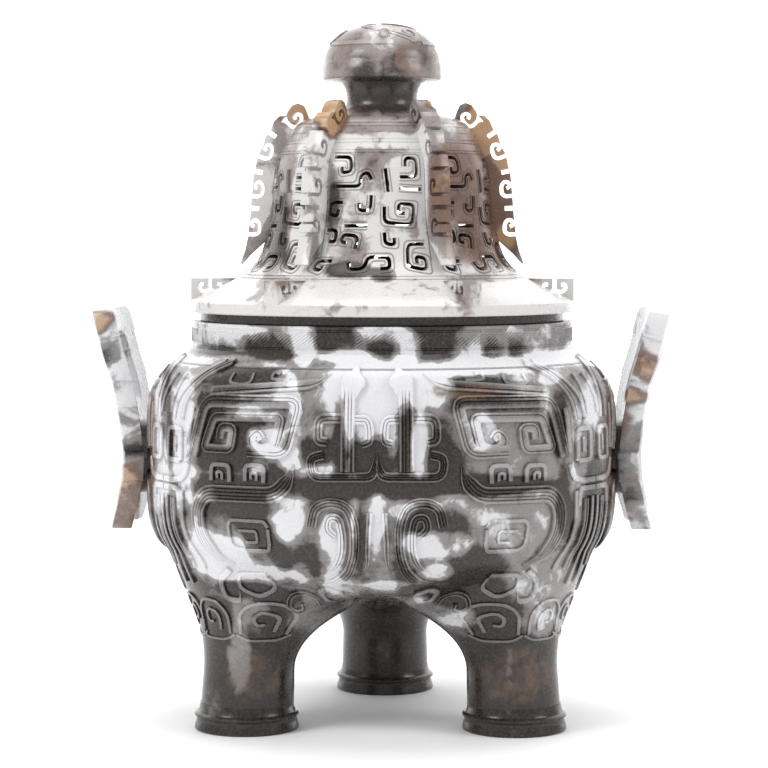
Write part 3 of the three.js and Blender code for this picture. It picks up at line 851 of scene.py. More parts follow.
half_slot = SLOT_WIDTH / 2
slot_section = [(-half_slot, SLOT_INNER, 0), (-half_slot, SLOT_OUTER, 0), (half_slot, SLOT_OUTER, 0),
                (half_slot, SLOT_INNER, 0)]
PANELS = [LID_TURN + math.radians(60 * i + 30) for i in range(FIN_COUNT)]
cutters = [band(rounded(path, SLOT_CORNER, 4), slot_section, panel_place(panel))
           for panel in PANELS for path in SLOTS]
dome_tree = skin_tree(dome)
cut_away(dome, gather("slot_cutter", cutters))
print("pierced dome:", len(dome.data.polygons), "faces")

# %% [markdown]
# ## Fine lines beside the slots
# Every slot has a thin raised line on each side that repeats its turns, and each panel is framed by
# plain upright lines next to the fins. They are low bands laid on the dome.

# %% Raised lines on the panels
def dome_place(panel):
    def place(along, down, lift):
        return drop_on(dome_tree, panel + along / DOME_WAIST, DOME_TOP - down, lift, start=0.13)
    return place


def beside(path, gap):
    """The same path, moved sideways by gap."""
    points = [Vector(p) for p in path]
    moved = []
    for i, point in enumerate(points):
        arrive = (point - points[i - 1] if i else points[1] - point).normalized()
        leave = (points[i + 1] - point if i + 1 < len(points) else arrive).normalized()
        mitre = (arrive + leave).normalized()
        moved.append(point + Vector((-mitre.y, mitre.x)) * gap / max(0.5, mitre.dot(arrive)))
    return moved


LINE_GAP = 2.2
FRAME_LINE = 29.4
# The lines beside the slots are darkened all over by painted shade.
line_section = thin_line(0.9, 0.3, -0.9)
panel_bands = []
for panel in PANELS:
    place = dome_place(panel)
    for path in SLOTS:
        for gap in (LINE_GAP, -LINE_GAP):
            panel_bands.append(band(rounded(beside(path, gap), SLOT_CORNER, 3), line_section, place))
    for along in (-FRAME_LINE, FRAME_LINE):
        panel_bands.append(band(rounded([(along, 16), (along, 84)], 1, 4), line_section, place))
panel_lines = gather("panel_lines", panel_bands)
print("panel lines:", len(panel_bands))

# %% [markdown]
# ## The fins
# Six fins stand on the dome. The edge of a fin is parted into eight teeth, in turn by a plain slit
# and by a gap that curls into two hooks, and the last tooth ends in a long point. The plate is drawn
# flat with its thickness, the gaps are cut out of it, and it is copied round the dome.

# %% One fin and its five copies
FIN_THICKNESS = 10.0
fin_edge = [(43.5, 361), (45, 366), (47, 370.4), (50.5, 372), (54.2, 370.6), (57, 366.8), (57.8, 364.4),
            (61.6, 364.4), (65, 361.4), (67, 356.6), (70.2, 352.2), (72, 346), (74.8, 341.4), (76.6, 333),
            (77.6, 330), (78.4, 321), (79.2, 312), (79.8, 304), (80.4, 298), (81.2, 291), (82.8, 283.5),
            (85.8, 275.6), (84.8, 275), (79.5, 281), (70, 289.5)]
fin_foot = [(p.x - 2.5, p.y) for p in dome_outer[::3] if 290 < p.y < DOME_TOP - 3][::-1]
fin_plate = flat_plate("fin", fin_edge + fin_foot, [], FIN_THICKNESS, 0.5)
# Each cut: radius and height of the edge, and which way the edge faces there, in degrees above level.
GAPS = [(54.6, 364.1, 45), (72.8, 344.2, 22), (78.5, 320.6, 6), (80.5, 297.4, 2)]
SLITS = [(68.4, 354.6, 34), (77.4, 331.2, 12), (79.6, 308.8, 3)]
GAP_MOUTH = -4.4
GAP_PATH = [(2.6, GAP_MOUTH), (-4.4, GAP_MOUTH), (-6.4, -2.6), (-6.2, 2.2), (-4.2, 4.6), (-1.5, 3.8),
            (-1.1, 1.2), (-3.2, 0.4)]
SLIT_PATH = [(2.6, 0), (-5.4, 0)]
GAP_WIDTH = 2.3
SLIT_WIDTH = 2.8
MOUTH_WIDTH = 5.6     # a mouth is this wide at the edge and narrows inwards
CUT_DEPTH = 9


def flat_place(x, y, depth):
    return Vector((x, y, depth))


def turned_path(path, spot):
    """Turns a cut to face the way the edge faces, and moves it there."""
    x, z, degrees = spot
    c, s = math.cos(math.radians(degrees)), math.sin(math.radians(degrees))
    return [Vector((x + u * c - v * s, z + u * s + v * c)) for u, v in path]


def cut_section(width):
    """A cut's width, through the whole plate."""
    half = width / 2
    return [(-half, -CUT_DEPTH, 0), (-half, CUT_DEPTH, 0), (half, CUT_DEPTH, 0), (half, -CUT_DEPTH, 0)]


fin_cuts = [band(rounded(turned_path(GAP_PATH, spot), 2.2, 1.2), cut_section(GAP_WIDTH), flat_place)
            for spot in GAPS]
fin_cuts += [band(turned_path(SLIT_PATH, spot), cut_section(SLIT_WIDTH), flat_place) for spot in SLITS]
for spots, level in ((GAPS, GAP_MOUTH), (SLITS, 0)):
    for spot in spots:
        mouth = turned_path([(2.4, level), (0.4, level), (-1.8, level)], spot)
        fin_cuts.append(band(mouth, cut_section(MOUTH_WIDTH), flat_place, pointed=1.0))
cut_away(fin_plate, gather("fin_cutter", fin_cuts), use_self=True)
sliced(fin_plate, 292, 372, 4)
sliced(fin_plate, 48, 84, 4, (1, 0, 0))


def stood_up(plate, name, angle):
    """A copy of a flat plate, standing on the radius at this angle."""
    copy = plate.copy()
    copy.data = plate.data.copy()
    copy.name = name
    bpy.context.scene.collection.objects.link(copy)
    out = outward(angle)
    side = Vector((-math.sin(angle), math.cos(angle), 0))
    for vertex in copy.data.vertices:
        reach, height, depth = vertex.co
        vertex.co = AXIS + (out * reach + side * depth) * MM + Vector((0, 0, height * MM))
    face_outwards(copy)
    return copy


fin_angles = [LID_TURN + math.radians(60 * i) for i in range(FIN_COUNT)]
fins = [stood_up(fin_plate, "fin", angle) for angle in fin_angles]
bpy.data.objects.remove(fin_plate)

# %% [markdown]
# ## The rim tabs
# In line with each fin a small tab stands on the flange, level on top and upright at the rim. A
# notch runs down into it and curls to both sides like an anchor.

# %% One tab and its five copies
TAB_TOP = FLANGE_TOP + 13.5
NOTCH_MIDDLE = 104.4
tab_outline = [(83, TAB_TOP), (FLANGE_RADIUS, TAB_TOP), (FLANGE_RADIUS, FLANGE_TOP - 1),
               (92, FLANGE_TOP - 1), (80, 266)]
tab_plate = flat_plate("tab", tab_outline, [], FIN_THICKNESS, 0.5)
anchor = [
    [(NOTCH_MIDDLE, TAB_TOP + 2), (NOTCH_MIDDLE, TAB_TOP - 5.6)],
    [(NOTCH_MIDDLE, TAB_TOP - 4.4), (NOTCH_MIDDLE, TAB_TOP - 7.2), (108.4, TAB_TOP - 8.6),
     (111.2, TAB_TOP - 6.4), (110.6, TAB_TOP - 3.6), (108.4, TAB_TOP - 4)],
]
mirrored = [(2 * NOTCH_MIDDLE - x, z) for x, z in anchor[1]]
notch_section = cut_section(2.4)
for path in anchor + [mirrored]:
    cut = band(rounded(path, 2.6, 1.2), notch_section, flat_place)
    cut_away(tab_plate, gather("tab_cutter", [cut]), use_self=True)
tabs = [stood_up(tab_plate, "tab", angle) for angle in fin_angles]
bpy.data.objects.remove(tab_plate)
print("fin faces:", len(fins[0].data.polygons), "tab faces:", len(tabs[0].data.polygons))

# %% [markdown]
# ## The knob's whorl
# The knob is carved with three scrolls that swirl round its top and curl in at their ends. They are
# drawn as spirals in angle and radius and dropped onto the knob from above. A small round stud sits
# on its front.

# %% Scrolls and stud on the knob
ABOVE_KNOB = Vector((0, 0, 0.45))
STUD_RADIUS = 3.3


def knob_place(x, y, lift):
    spot = Vector((x * MM, y * MM, 0))
    hit, normal, _, _ = dome_tree.ray_cast(AXIS + spot + ABOVE_KNOB, Vector((0, 0, -1)))
    return hit + normal * lift * MM


def spiral(turn, start, end, sweep, count=14):
    """Points that turn through an angle as their radius goes from start to end."""
    points = []
    for k in range(count + 1):
        t = k / count
        angle = turn + sweep * t
        radius = start + (end - start) * t
        points.append(Vector((math.cos(angle), math.sin(angle))) * radius)
    return points


knob_bands = []
for k in range(3):
    turn = math.radians(120 * k + 40)
    arm = spiral(turn, 4, 30, math.radians(150))
    curl_centre = arm[-1] * 0.84
    knob_bands.append(band(arm, band_section(3.4, 0.9, 1, (0,)), knob_place))
    curl = [curl_centre + p for p in spiral(turn + math.radians(120), 5.6, 1.2, math.radians(400), 16)]
    knob_bands.append(band(curl, band_section(2.4, 0.8, 1), knob_place))
    outer = spiral(turn + math.radians(40), 31.5, 31.5, math.radians(84))
    knob_bands.append(band(outer, band_section(1.6, 0.6, 1), knob_place))
knob_scrolls = gather("knob_scrolls", knob_bands)
bpy.ops.object.select_all(action="DESELECT")
bpy.ops.mesh.primitive_uv_sphere_add(segments=24, ring_count=12, radius=STUD_RADIUS * MM,
                                     location=knob_place(2, -27, 0.6))
stud = bpy.context.object
bpy.ops.object.transform_apply(location=True, rotation=True, scale=True)
print("knob bands:", len(knob_bands))

# %% [markdown]
# ## The lid as one piece
# Dome, fins, tabs and knob are cut from one stone too. The lid rests on the collar and lifts off, so
# it is an object of its own, rides on the same body and stands for the lid's solid.

# %% Join the lid
lid = join([dome, panel_lines, knob_scrolls, stud] + fins + tabs, "lid_carved")
lid.data.name = "lid_carved"
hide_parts("lid")
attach(lid, "root")
print("lid triangles:", triangle_count(lid))

# %% [markdown]
# ## Light and dark in the stone
# The stone is dark grey-brown with clouds of white, and where the large clouds lie is part of how the
# object looks. Each was placed as a soft oval over the photograph, and the script turns its
# pixels into millimetres at the axis. The far side isn't known, so its ovals come from a seeded draw.

# %% Soft ovals, in pixels of the 768 x 768 photograph
PIXEL = 0.607         # mm of the object to a pixel, at the axis
AXIS_COLUMN = 382     # the axis in the photograph
FLOOR_ROW = 717       # the floor under the axis
LIGHT_SPREAD = 1.25   # an oval fades over its edge, so it is drawn a little larger
WARM_SPREAD = 1.1
# Each mark: column, row, half width, half height, strength (below zero is darker).
COLLAR_AND_SHOULDER = [
    (205, 335, 14, 14, 0.9), (225, 335, 14, 10, 1), (240, 335, 12, 12, 1.1), (262, 331, 9, 4, 0.9),
    (307, 348, 9, 16, 1.3), (300, 330, 16, 7, 0.9), (350, 356, 24, 6, 1.3), (388, 332, 24, 8, 1.1),
    (410, 348, 13, 14, 1.2), (475, 353, 26, 6, 1.1), (490, 332, 30, 8, 0.6), (550, 340, 22, 14, 0.6),
    (580, 355, 20, 5, 1), (520, 362, 80, 4, 1.2), (450, 370, 60, 5, 1.3), (440, 393, 20, 12, 1.2),
    (240, 357, 20, 3, 0.8), (265, 365, 20, 3, 1.1), (200, 361, 16, 5, 1.1), (560, 356, 30, 4, 1.1),
    (220, 350, 20, 5, -1.1), (265, 343, 18, 8, -1.1), (340, 340, 20, 9, -1.1), (340, 325, 18, 6, -0.8),
    (270, 354, 26, 4, -1.1), (389, 350, 12, 9, -1.4), (437, 328, 22, 6, -1), (440, 352, 17, 8, -1.4),
    (435, 341, 20, 6, -0.6), (495, 352, 8, 6, -1.4), (520, 347, 6, 8, -1.2),
]
LEFT_MASK = [
    (185, 390, 14, 30, 0.8), (160, 430, 8, 60, 0.9), (190, 440, 12, 40, 1), (270, 398, 28, 4, 0.8),
    (290, 385, 9, 14, 1.2), (300, 425, 6, 32, 1.1), (255, 412, 14, 7, 1), (280, 428, 8, 16, 1.1),
    (262, 440, 10, 12, 1), (280, 455, 16, 5, 1), (235, 435, 10, 12, 0.5), (293, 466, 9, 5, 1.1),
    (262, 468, 7, 7, 1), (240, 367, 20, 6, -0.7), (255, 382, 30, 9, -0.9), (230, 400, 30, 5, -1),
    (212, 430, 14, 26, -1), (230, 460, 32, 9, -1), (245, 445, 7, 16, -1), (250, 425, 28, 5, -0.8),
    (277, 472, 10, 7, -0.9), (168, 400, 4, 30, -1), (172, 440, 3, 20, -1),
]
NOSE_MARKS = [
    (372, 398, 32, 30, 1.4), (395, 385, 25, 22, 1.4), (350, 378, 12, 12, 1), (325, 432, 12, 8, 0.9),
    (352, 440, 4, 28, 1), (370, 435, 5, 14, 0.9), (325, 470, 18, 4, 1), (397, 440, 6, 18, 1.1),
    (425, 445, 8, 30, 1.4), (437, 385, 18, 14, 1.1), (330, 390, 12, 18, 0.3), (320, 450, 16, 12, -0.7),
    (346, 405, 5, 15, -0.9), (345, 450, 6, 28, -1), (368, 458, 14, 14, -1.3), (385, 457, 14, 12, -1.3),
    (409, 430, 7, 38, -1.2), (405, 488, 52, 8, -1.4), (330, 490, 44, 8, -1.2), (445, 462, 12, 20, -1.2),
]
RIGHT_MASK = [
    (540, 376, 22, 6, 0.8), (556, 390, 10, 20, 0.7), (520, 430, 42, 30, 0.4), (480, 430, 15, 20, 0.5),
    (590, 450, 14, 60, 0.5), (600, 390, 12, 22, 0.6), (560, 480, 20, 20, 0.3), (505, 470, 16, 10, 0.4),
    (470, 389, 40, 9, -1.2), (500, 403, 40, 6, -1), (456, 470, 10, 18, -0.8), (562, 420, 7, 28, -1.2),
    (492, 486, 30, 8, -1.1), (532, 484, 30, 6, -1), (596, 520, 7, 60, -0.9), (568, 500, 6, 26, -1),
]
LOWER_BODY = [
    (180, 500, 18, 30, 1), (215, 540, 25, 25, 1.2), (235, 560, 35, 16, 1.2), (205, 560, 20, 20, 1.1),
    (260, 577, 30, 7, 1.1), (290, 510, 16, 22, 1.3), (285, 530, 16, 12, 1), (335, 552, 10, 32, 1.1),
    (305, 575, 8, 10, 1), (345, 590, 15, 8, 0.8), (360, 515, 4, 25, 0.9), (380, 520, 6, 30, 1),
    (212, 495, 9, 8, 1), (440, 545, 26, 12, 1.3), (445, 574, 14, 7, 1.1), (408, 512, 12, 8, 1.1),
    (415, 552, 9, 14, 1), (385, 512, 7, 20, 1), (392, 587, 20, 4, 1), (410, 602, 18, 3, 0.9),
    (465, 620, 19, 7, 1), (455, 508, 14, 13, 0.75), (485, 515, 15, 9, 0.5), (466, 545, 7, 14, 0.9),
    (520, 540, 34, 36, 0.5), (530, 605, 20, 24, 0.5), (570, 600, 14, 30, 0.4), (545, 625, 20, 12, 0.5),
    (240, 486, 45, 9, -1.1), (240, 515, 36, 18, -1.3), (265, 545, 14, 18, -1.3), (315, 562, 16, 12, -1.1),
    (365, 540, 5, 25, -1), (285, 560, 8, 12, -0.7), (187, 540, 8, 26, -1.2), (172, 520, 6, 20, -1),
    (458, 530, 13, 18, -1.1), (430, 521, 16, 12, -1.2), (410, 570, 9, 26, -1), (430, 590, 20, 3, -0.9),
    (472, 590, 32, 14, -1.3), (482, 565, 24, 14, -1.2), (590, 562, 9, 30, -0.9), (505, 622, 26, 20, -1.2),
]
LEG_MARKS = [
    (245, 615, 8, 10, 0.4), (265, 610, 8, 7, 0.7), (241, 662, 9, 30, 1.1), (210, 706, 12, 14, 0.7),
    (513, 668, 3, 20, 0.7), (245, 590, 20, 7, -1), (280, 600, 18, 8, -1), (200, 577, 10, 18, -1),
    (215, 622, 15, 18, -0.9), (272, 622, 12, 10, -0.9),
]
HANDLE_MARKS = [
    (133, 451, 8, 8, -1.6), (105, 359, 4, 10, -1.5), (633, 497, 10, 12, -1), (640, 440, 6, 10, -0.6),
    (127, 395, 8, 12, 0.5),
]
VESSEL_LIGHT = (COLLAR_AND_SHOULDER + LEFT_MASK + NOSE_MARKS + RIGHT_MASK + LOWER_BODY + LEG_MARKS
                + HANDLE_MARKS)
VESSEL_WARM = [
    (535, 395, 110, 8, 0.25), (470, 390, 38, 9, 0.35), (215, 430, 12, 25, 0.25), (250, 520, 30, 15, 0.2),
    (440, 480, 40, 12, 0.2), (255, 680, 30, 26, 0.42), (520, 680, 40, 30, 0.42), (390, 655, 40, 40, 0.3),
    (103, 321, 12, 12, 1.25), (123, 502, 18, 32, 0.85), (131, 478, 14, 10, 0.6), (151, 440, 7, 60, 0.6),
    (646, 365, 13, 17, 0.95), (635, 396, 13, 11, 0.95), (629, 429, 8, 18, 0.8), (631, 477, 11, 6, 0.7),
    (640, 521, 9, 6, 0.95), (612, 450, 6, 62, 0.5),
]
LID_LIGHT = [
    (380, 141, 27, 7, 1), (345, 150, 10, 14, 1.1), (422, 145, 8, 12, 0.8), (326, 200, 5, 62, 0.9),
    (425, 190, 5, 62, 0.9), (350, 175, 16, 14, 0.7), (405, 178, 16, 24, 0.8), (380, 215, 30, 24, 0.75),
    (405, 255, 30, 16, 0.8), (308, 195, 11, 42, 0.8), (299, 250, 8, 20, 1.2), (262, 170, 12, 50, 0.7),
    (262, 225, 10, 40, 0.6), (300, 131, 14, 14, 0.5), (455, 136, 18, 12, 0.8), (508, 185, 10, 30, 0.4),
    (445, 255, 10, 18, 0.5), (480, 262, 20, 8, 0.5), (225, 292, 20, 6, 0.5), (380, 45, 14, 12, 0.6),
    (384, 96, 3, 14, -1.2), (336, 205, 5, 24, -1.1), (332, 228, 8, 14, -0.5), (273, 248, 17, 22, -0.9),
    (281, 215, 9, 18, -0.8), (475, 200, 36, 60, -0.5), (490, 240, 14, 30, -0.9), (352, 270, 20, 6, -2.2),
    (386, 274, 10, 6, -2.2), (268, 288, 7, 14, -0.7), (471, 292, 9, 13, -0.7), (210, 300, 12, 5, -0.5),
    (340, 310, 60, 4, -0.4), (365, 95, 12, 16, -1.1), (395, 95, 18, 16, -0.7), (410, 60, 18, 14, -0.3),
]
LID_WARM = [
    (300, 112, 24, 13, 1.1), (335, 117, 12, 20, 1.2), (437, 104, 11, 5, 1), (484, 126, 22, 24, 1.2),
    (505, 155, 10, 14, 0.9), (508, 246, 10, 20, 0.8), (475, 200, 40, 62, 0.75), (440, 165, 12, 30, 0.25),
    (284, 283, 10, 8, 0.7), (285, 140, 20, 12, 0.3), (360, 120, 40, 10, 0.3), (352, 55, 18, 22, 0.35),
    (412, 62, 20, 18, 0.5), (550, 303, 30, 4, 0.3), (475, 303, 14, 10, 0.3),
]


def on_object(marks, spread):
    """Marks in pixels as ovals in mm: across and up from the foot of the axis."""
    return [((column - AXIS_COLUMN) * PIXEL, (FLOOR_ROW - row) * PIXEL,
             half_width * PIXEL * spread, half_height * PIXEL * spread, strength)
            for column, row, half_width, half_height, strength in marks]


def drawn(seed, count, low, high, size):
    """Ovals for the far side, from a seeded draw."""
    draw = random.Random(seed)
    return [(draw.uniform(-150, 150), draw.uniform(low, high), draw.uniform(*size), draw.uniform(*size),
             draw.choice((-1.2, -1, 1.1, 1.2))) for _ in range(count)]


VESSEL_FAR = drawn(11, 90, 70, 238, (6, 20))
LID_FAR = drawn(5, 40, 262, 366, (6, 16))
print("ovals on the near side:", len(VESSEL_LIGHT + VESSEL_WARM + LID_LIGHT + LID_WARM))

# %% [markdown]
# ## Giving the patches to the stones
# Each point of a mesh is followed to where the camera sees it and takes the sum of the ovals there.
# Legs, handles and rim have a ground tone of their own, and the seat ring gets painted shade. The sums are
# stored on the meshes, and the material adds the fine mottling.

# %% Store light and warmth on the meshes
NEAR_LIMITS = (-2.2, 1.4)
FAR_LIMITS = (-1.2, 1.2)
SIDE_WIDTH = 40.0     # behind the axis, over which the near side gives way to the far side
LEG_TOP = 66.0
HANDLE_START = 141.0
RIM_TOP = 282.0
WALL_START = 2.5      # deeper than this, the slots and the dome's inner face turn amber


def points_of(obj):
    """The mesh's points in mm, from the foot of the axis."""
    flat = np.empty(len(obj.data.vertices) * 3)
    obj.data.vertices.foreach_get("co", flat)
    return (flat.reshape(-1, 3) - np.array(AXIS)) / MM


def front_view(points):
    """Where each point is seen from the camera, in mm at the axis."""
    distance, height = CAMERA_DISTANCE / MM, CAMERA_HEIGHT / MM
    nearness = distance / (distance + points[:, 1])
    return points[:, 0] * nearness, height - (height - points[:, 2]) * nearness


def oval_sum(ovals, across, height):
    total = np.zeros(len(across))
    for x, z, half_width, half_height, strength in ovals:
        gap = ((across - x) / half_width) ** 2 + ((height - z) / half_height) ** 2
        total += strength * np.clip(1.5 - gap, 0, 1)
    return total


def seen_share(points):
    """One on the near side, zero on the far side."""
    return np.clip(1 - points[:, 1] / SIDE_WIDTH, 0, 1)


def light_and_warmth(obj, light, far, warm, ground, base, warm_limits):
    points = points_of(obj)
    across, height = front_view(points)
    near = np.clip(oval_sum(on_object(light, LIGHT_SPREAD), across, height), *NEAR_LIMITS)
    behind = np.clip(oval_sum(far, points[:, 0], points[:, 2]), *FAR_LIMITS)
    share = seen_share(points)
    store(obj, "light", near * share + behind * (1 - share) + ground(points) + base)
    warmth = oval_sum(on_object(warm, WARM_SPREAD), across, height) * share
    store(obj, "warmth", np.clip(warmth, *warm_limits))


def vessel_ground(points):
    """Dark legs, and pale handles."""
    on_legs = np.clip((LEG_TOP - points[:, 2]) / 12, 0, 1)
    on_handles = np.clip((np.abs(points[:, 0]) - HANDLE_START) / 3, 0, 1)
    return -0.85 * on_legs + 0.9 * on_handles


def inside_dome(points):
    """One in the depths of the slots and on the dome's inner face, which shows through them."""
    heights = [DOME_TOP - down * DOME_HEIGHT for _, down in dome_shape][::-1]
    radii = [r * DOME_WAIST for r, _ in dome_shape][::-1]
    depth = np.interp(points[:, 2], heights, radii) - np.hypot(points[:, 0], points[:, 1])
    return (depth > WALL_START) & (points[:, 2] > heights[0]) & (points[:, 2] < heights[-1])


def lid_ground_and_seat_shade(points):
    """A pale rim under a greyer dome, and painted shade on the seat ring under the flange."""
    seat = (points[:, 2] < FLANGE_LOW + 0.2) & (np.hypot(points[:, 0], points[:, 1]) < FLANGE_RADIUS - 3)
    rim = np.clip((RIM_TOP - points[:, 2]) / 10, 0, 1)
    # The seat ring's darkening is painted shade.
    return 0.95 * rim - 2.6 * seat


def lid_warm_limits(points):
    """Amber only on the fins, the tabs and the slots' depths. The dome's face gets no warmer than brown."""
    spacing = 2 * math.pi / FIN_COUNT
    turn = np.arctan2(points[:, 1], points[:, 0]) - LID_TURN
    aside = np.abs(np.sin(turn - np.round(turn / spacing) * spacing)) * np.hypot(points[:, 0], points[:, 1])
    inside = inside_dome(points)
    return 1.1 * inside, np.where((aside < FIN_THICKNESS / 2 + 0.8) | inside, 2.0, 0.55)


light_and_warmth(vessel, VESSEL_LIGHT, VESSEL_FAR, VESSEL_WARM, vessel_ground, -0.25, (0.0, 2.0))
light_and_warmth(lid, LID_LIGHT, LID_FAR, LID_WARM, lid_ground_and_seat_shade, 0.0, lid_warm_limits(points_of(lid)))
print("light and warmth stored on", vessel.name, "and", lid.name)

# %% [markdown]
# ## The stone's finish
# One shader group makes the mottling for both stones: broad clouds whose edges are broken up by
# finer noise, thin veins, and grains. It gives out a colour, a roughness and a height, and each
# material sets its own dark, light and warm tones.

# %% The mottled stone group
def set_inputs(inputs, values):
    """Sets plain values on a shader's inputs, by their names."""
    for name, value in values.items():
        inputs[name].default_value = value


def noise_node(tree, vector, scale, detail, roughness, distortion=0.0):
    made = tree.nodes.new("ShaderNodeTexNoise")
    set_inputs(made.inputs, {"Scale": scale, "Detail": detail, "Roughness": roughness,
                             "Distortion": distortion})
    tree.links.new(vector, made.inputs["Vector"])
    return made.outputs["Fac"]


def remap(tree, value, low, high, to_low=0.0, to_high=1.0, smooth=True):
    made = tree.nodes.new("ShaderNodeMapRange")
    made.interpolation_type = "SMOOTHSTEP" if smooth else "LINEAR"
    for socket, number in zip(made.inputs[1:5], (low, high, to_low, to_high)):
        socket.default_value = number
    tree.links.new(value, made.inputs[0])
    return made.outputs[0]


def maths(tree, operation, a, b):
    made = tree.nodes.new("ShaderNodeMath")
    made.operation = operation
    for socket, value in zip(made.inputs, (a, b)):
        if isinstance(value, (int, float)):
            socket.default_value = value
        else:
            tree.links.new(value, socket)
    return made.outputs[0]


def blend_colours(tree, factor, a, b):
    made = tree.nodes.new("ShaderNodeMix")
    made.data_type = "RGBA"
    tree.links.new(factor, made.inputs[0])
    for socket, value in ((made.inputs[6], a), (made.inputs[7], b)):
        if isinstance(value, tuple):
            socket.default_value = value
        else:
            tree.links.new(value, socket)
    return made.outputs[2]


def mottled_stone_group():
    group = bpy.data.node_groups.new("MottledStone", "ShaderNodeTree")
    for name in ("Cloud", "Warm", "Painted Light And Shade"):
        group.interface.new_socket(name=name, in_out="INPUT", socket_type="NodeSocketFloat")
    for name in ("Dark", "Middle", "Light", "Brown", "Amber"):
        group.interface.new_socket(name=name, in_out="INPUT", socket_type="NodeSocketColor")
    for name, kind in (("Color", "Color"), ("Roughness", "Float"), ("Height", "Float")):
        group.interface.new_socket(name=name, in_out="OUTPUT", socket_type="NodeSocket" + kind)
    given = group.nodes.new("NodeGroupInput")
    out = group.nodes.new("NodeGroupOutput")
    place = group.nodes.new("ShaderNodeTexCoord").outputs["Object"]
    broad = noise_node(group, place, 30, 3, 0.5, 0.4)
    ragged = noise_node(group, place, 110, 7, 0.62, 0.8)
    fine = noise_node(group, place, 520, 5, 0.6)
    field = maths(group, "MULTIPLY", maths(group, "SUBTRACT", broad, 0.5), 1.7)
    field = maths(group, "ADD", field, maths(group, "MULTIPLY", maths(group, "SUBTRACT", ragged, 0.5), 2.0))
    field = maths(group, "ADD", field, given.outputs["Cloud"])
    middle = remap(group, field, -0.8, 0.2)
    light = remap(group, field, 0.3, 0.8)
    grain = remap(group, fine, 0.3, 0.72, 0.0, 1.0)
    grey_share = remap(group, grain, 0, 1, 0.0, 0.08)
    deep = blend_colours(group, grey_share, given.outputs["Dark"], given.outputs["Middle"])
    ground = blend_colours(group, middle, deep, given.outputs["Middle"])
    stone_colour = blend_colours(group, light, ground, given.outputs["Light"])
    fringe = maths(group, "MULTIPLY", maths(group, "SUBTRACT", ragged, 0.5), 0.9)
    warm_edge = maths(group, "ADD", given.outputs["Warm"], fringe)
    amber_share = remap(group, warm_edge, 0.8, 1.1)
    tan = blend_colours(group, amber_share, given.outputs["Brown"], given.outputs["Amber"])
    warmed = blend_colours(group, remap(group, warm_edge, 0.25, 0.7, 0.0, 0.88), stone_colour, tan)
    # Painted highlights lighten the bands' edges, and painted shade darkens their cuts and feet.
    edge_highlight_share = remap(group, given.outputs["Painted Light And Shade"], 0.4, 1.0, 0.0, 0.2)
    with_painted_highlights = blend_colours(group, edge_highlight_share, warmed, given.outputs["Light"])
    painted_shade_share = remap(group, given.outputs["Painted Light And Shade"], 0.1, -0.9, 0.0, 0.6)
    group.links.new(blend_colours(group, painted_shade_share, with_painted_highlights, given.outputs["Dark"]), out.inputs["Color"])
    group.links.new(remap(group, fine, 0.3, 0.75, 0.2, 0.34), out.inputs["Roughness"])
    group.links.new(fine, out.inputs["Height"])
    return group


def stone_material(name, group, tones):
    material = bpy.data.materials.new(name)
    material.use_nodes = True
    tree = material.node_tree
    shader = tree.nodes["Principled BSDF"]
    set_inputs(shader.inputs, {"Specular IOR Level": 0.38, "Coat Weight": 0.08, "Coat Roughness": 0.12})
    stone_node = tree.nodes.new("ShaderNodeGroup")
    stone_node.node_tree = group
    set_inputs(stone_node.inputs, tones)
    # The third attribute carries the bands' painted highlights and painted shade.
    for attribute, socket in (("light", "Cloud"), ("warmth", "Warm"), ("painted_light_and_shade", "Painted Light And Shade")):
        reader = tree.nodes.new("ShaderNodeAttribute")
        reader.attribute_name = attribute
        tree.links.new(reader.outputs["Fac"], stone_node.inputs[socket])
    bump = tree.nodes.new("ShaderNodeBump")
    set_inputs(bump.inputs, {"Strength": 0.12, "Distance": 0.2 * MM})
    tree.links.new(stone_node.outputs["Height"], bump.inputs["Height"])
    tree.links.new(bump.outputs["Normal"], shader.inputs["Normal"])
    tree.links.new(stone_node.outputs["Color"], shader.inputs["Base Color"])
    tree.links.new(stone_node.outputs["Roughness"], shader.inputs["Roughness"])
    return material


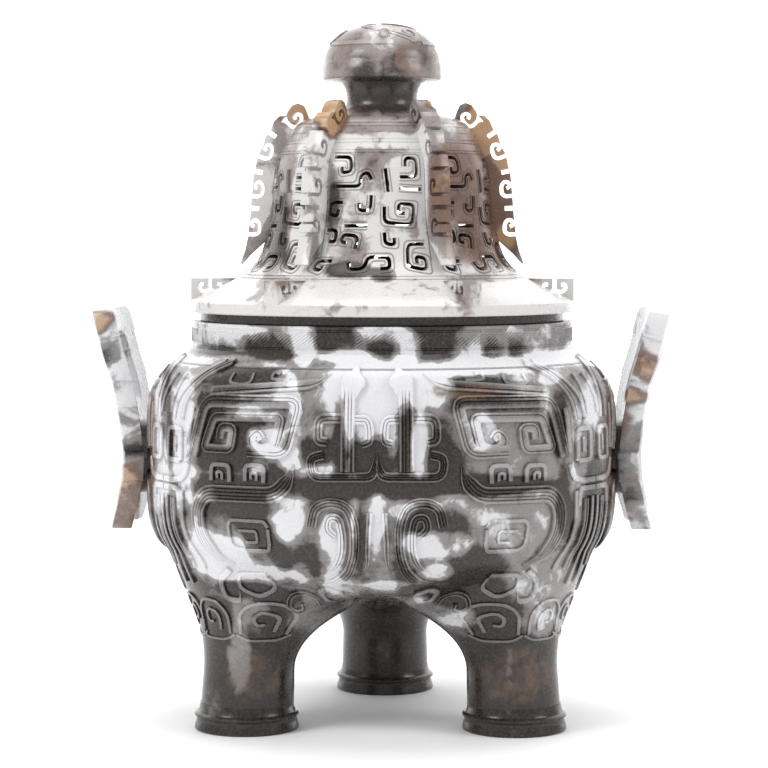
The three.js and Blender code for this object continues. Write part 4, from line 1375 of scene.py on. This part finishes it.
stone_group = mottled_stone_group()
vessel_material = stone_material("vessel_stone", stone_group, {
    "Dark": (0.022, 0.017, 0.0145, 1), "Middle": (0.23, 0.218, 0.213, 1), "Light": (0.64, 0.64, 0.66, 1),
    "Brown": (0.15, 0.09, 0.062, 1), "Amber": (0.4, 0.25, 0.145, 1)})
lid_material = stone_material("lid_stone", stone_group, {
    "Dark": (0.045, 0.036, 0.033, 1), "Middle": (0.28, 0.245, 0.235, 1), "Light": (0.61, 0.595, 0.59, 1),
    "Brown": (0.17, 0.094, 0.066, 1), "Amber": (0.43, 0.265, 0.14, 1)})
SMOOTH_BELOW = math.radians(32)
for obj, material in ((vessel, vessel_material), (lid, lid_material)):
    obj.data.materials.clear()
    obj.data.materials.append(material)
    only(obj)
    bpy.ops.object.shade_smooth_by_angle(angle=SMOOTH_BELOW)
    print(obj.name, "has the finish", material.name)

# %% [markdown]
# ## Floor and light
# The photograph has a white floor and a white background with no edge between them. A pale floor runs
# back to a white wall that gives off light, as a studio's lit backdrop does. The sky is dimmer than
# the wall, so the upright faces stay a little greyer than the level ones.

# %% Floor, backdrop, sky and lamps
def studio_plane(name, size, place, turn):
    bpy.ops.object.select_all(action="DESELECT")
    bpy.ops.mesh.primitive_plane_add(size=size, location=place, rotation=turn)
    plane = bpy.context.object
    plane.name = name
    material = bpy.data.materials.new(name)
    material.use_nodes = True
    plane.data.materials.append(material)
    return plane, material.node_tree.nodes["Principled BSDF"].inputs


floor, floor_look = studio_plane("floor", 9, (0, 0, 0), (0, 0, 0))
set_inputs(floor_look, {"Base Color": (0.95, 0.95, 0.95, 1), "Roughness": 0.8})
wall, wall_look = studio_plane("backdrop", 9, (0, 3.2, 4.4), (math.pi / 2, 0, 0))
set_inputs(wall_look, {"Base Color": (0.9, 0.9, 0.9, 1), "Emission Color": (1, 1, 1, 1),
                       "Emission Strength": 1.0})

world = bpy.data.worlds.new("sky")
world.use_nodes = True
set_inputs(world.node_tree.nodes["Background"].inputs, {"Color": (1, 1, 1, 1), "Strength": 0.58})
bpy.context.scene.world = world
bpy.context.scene.view_settings.view_transform = "Standard"


LAMP_AIM = Vector((0, 0, 0.2))


def lamp(name, place, size, power):
    data = bpy.data.lights.new(name, "AREA")
    data.size = size
    data.energy = power
    lamp_object = in_scene(name, data)
    lamp_object.location = place
    lamp_object.rotation_euler = (LAMP_AIM - Vector(place)).to_track_quat("-Z", "Y").to_euler()


lamp("left_lamp", (-1.5, -1.1, 1.5), 0.8, 24)
lamp("right_lamp", (1.7, -0.6, 1.2), 0.8, 14)
lamp("top_lamp", (0, 0.1, 2.2), 1.6, 22)
print("lamps:", len(bpy.data.lights))
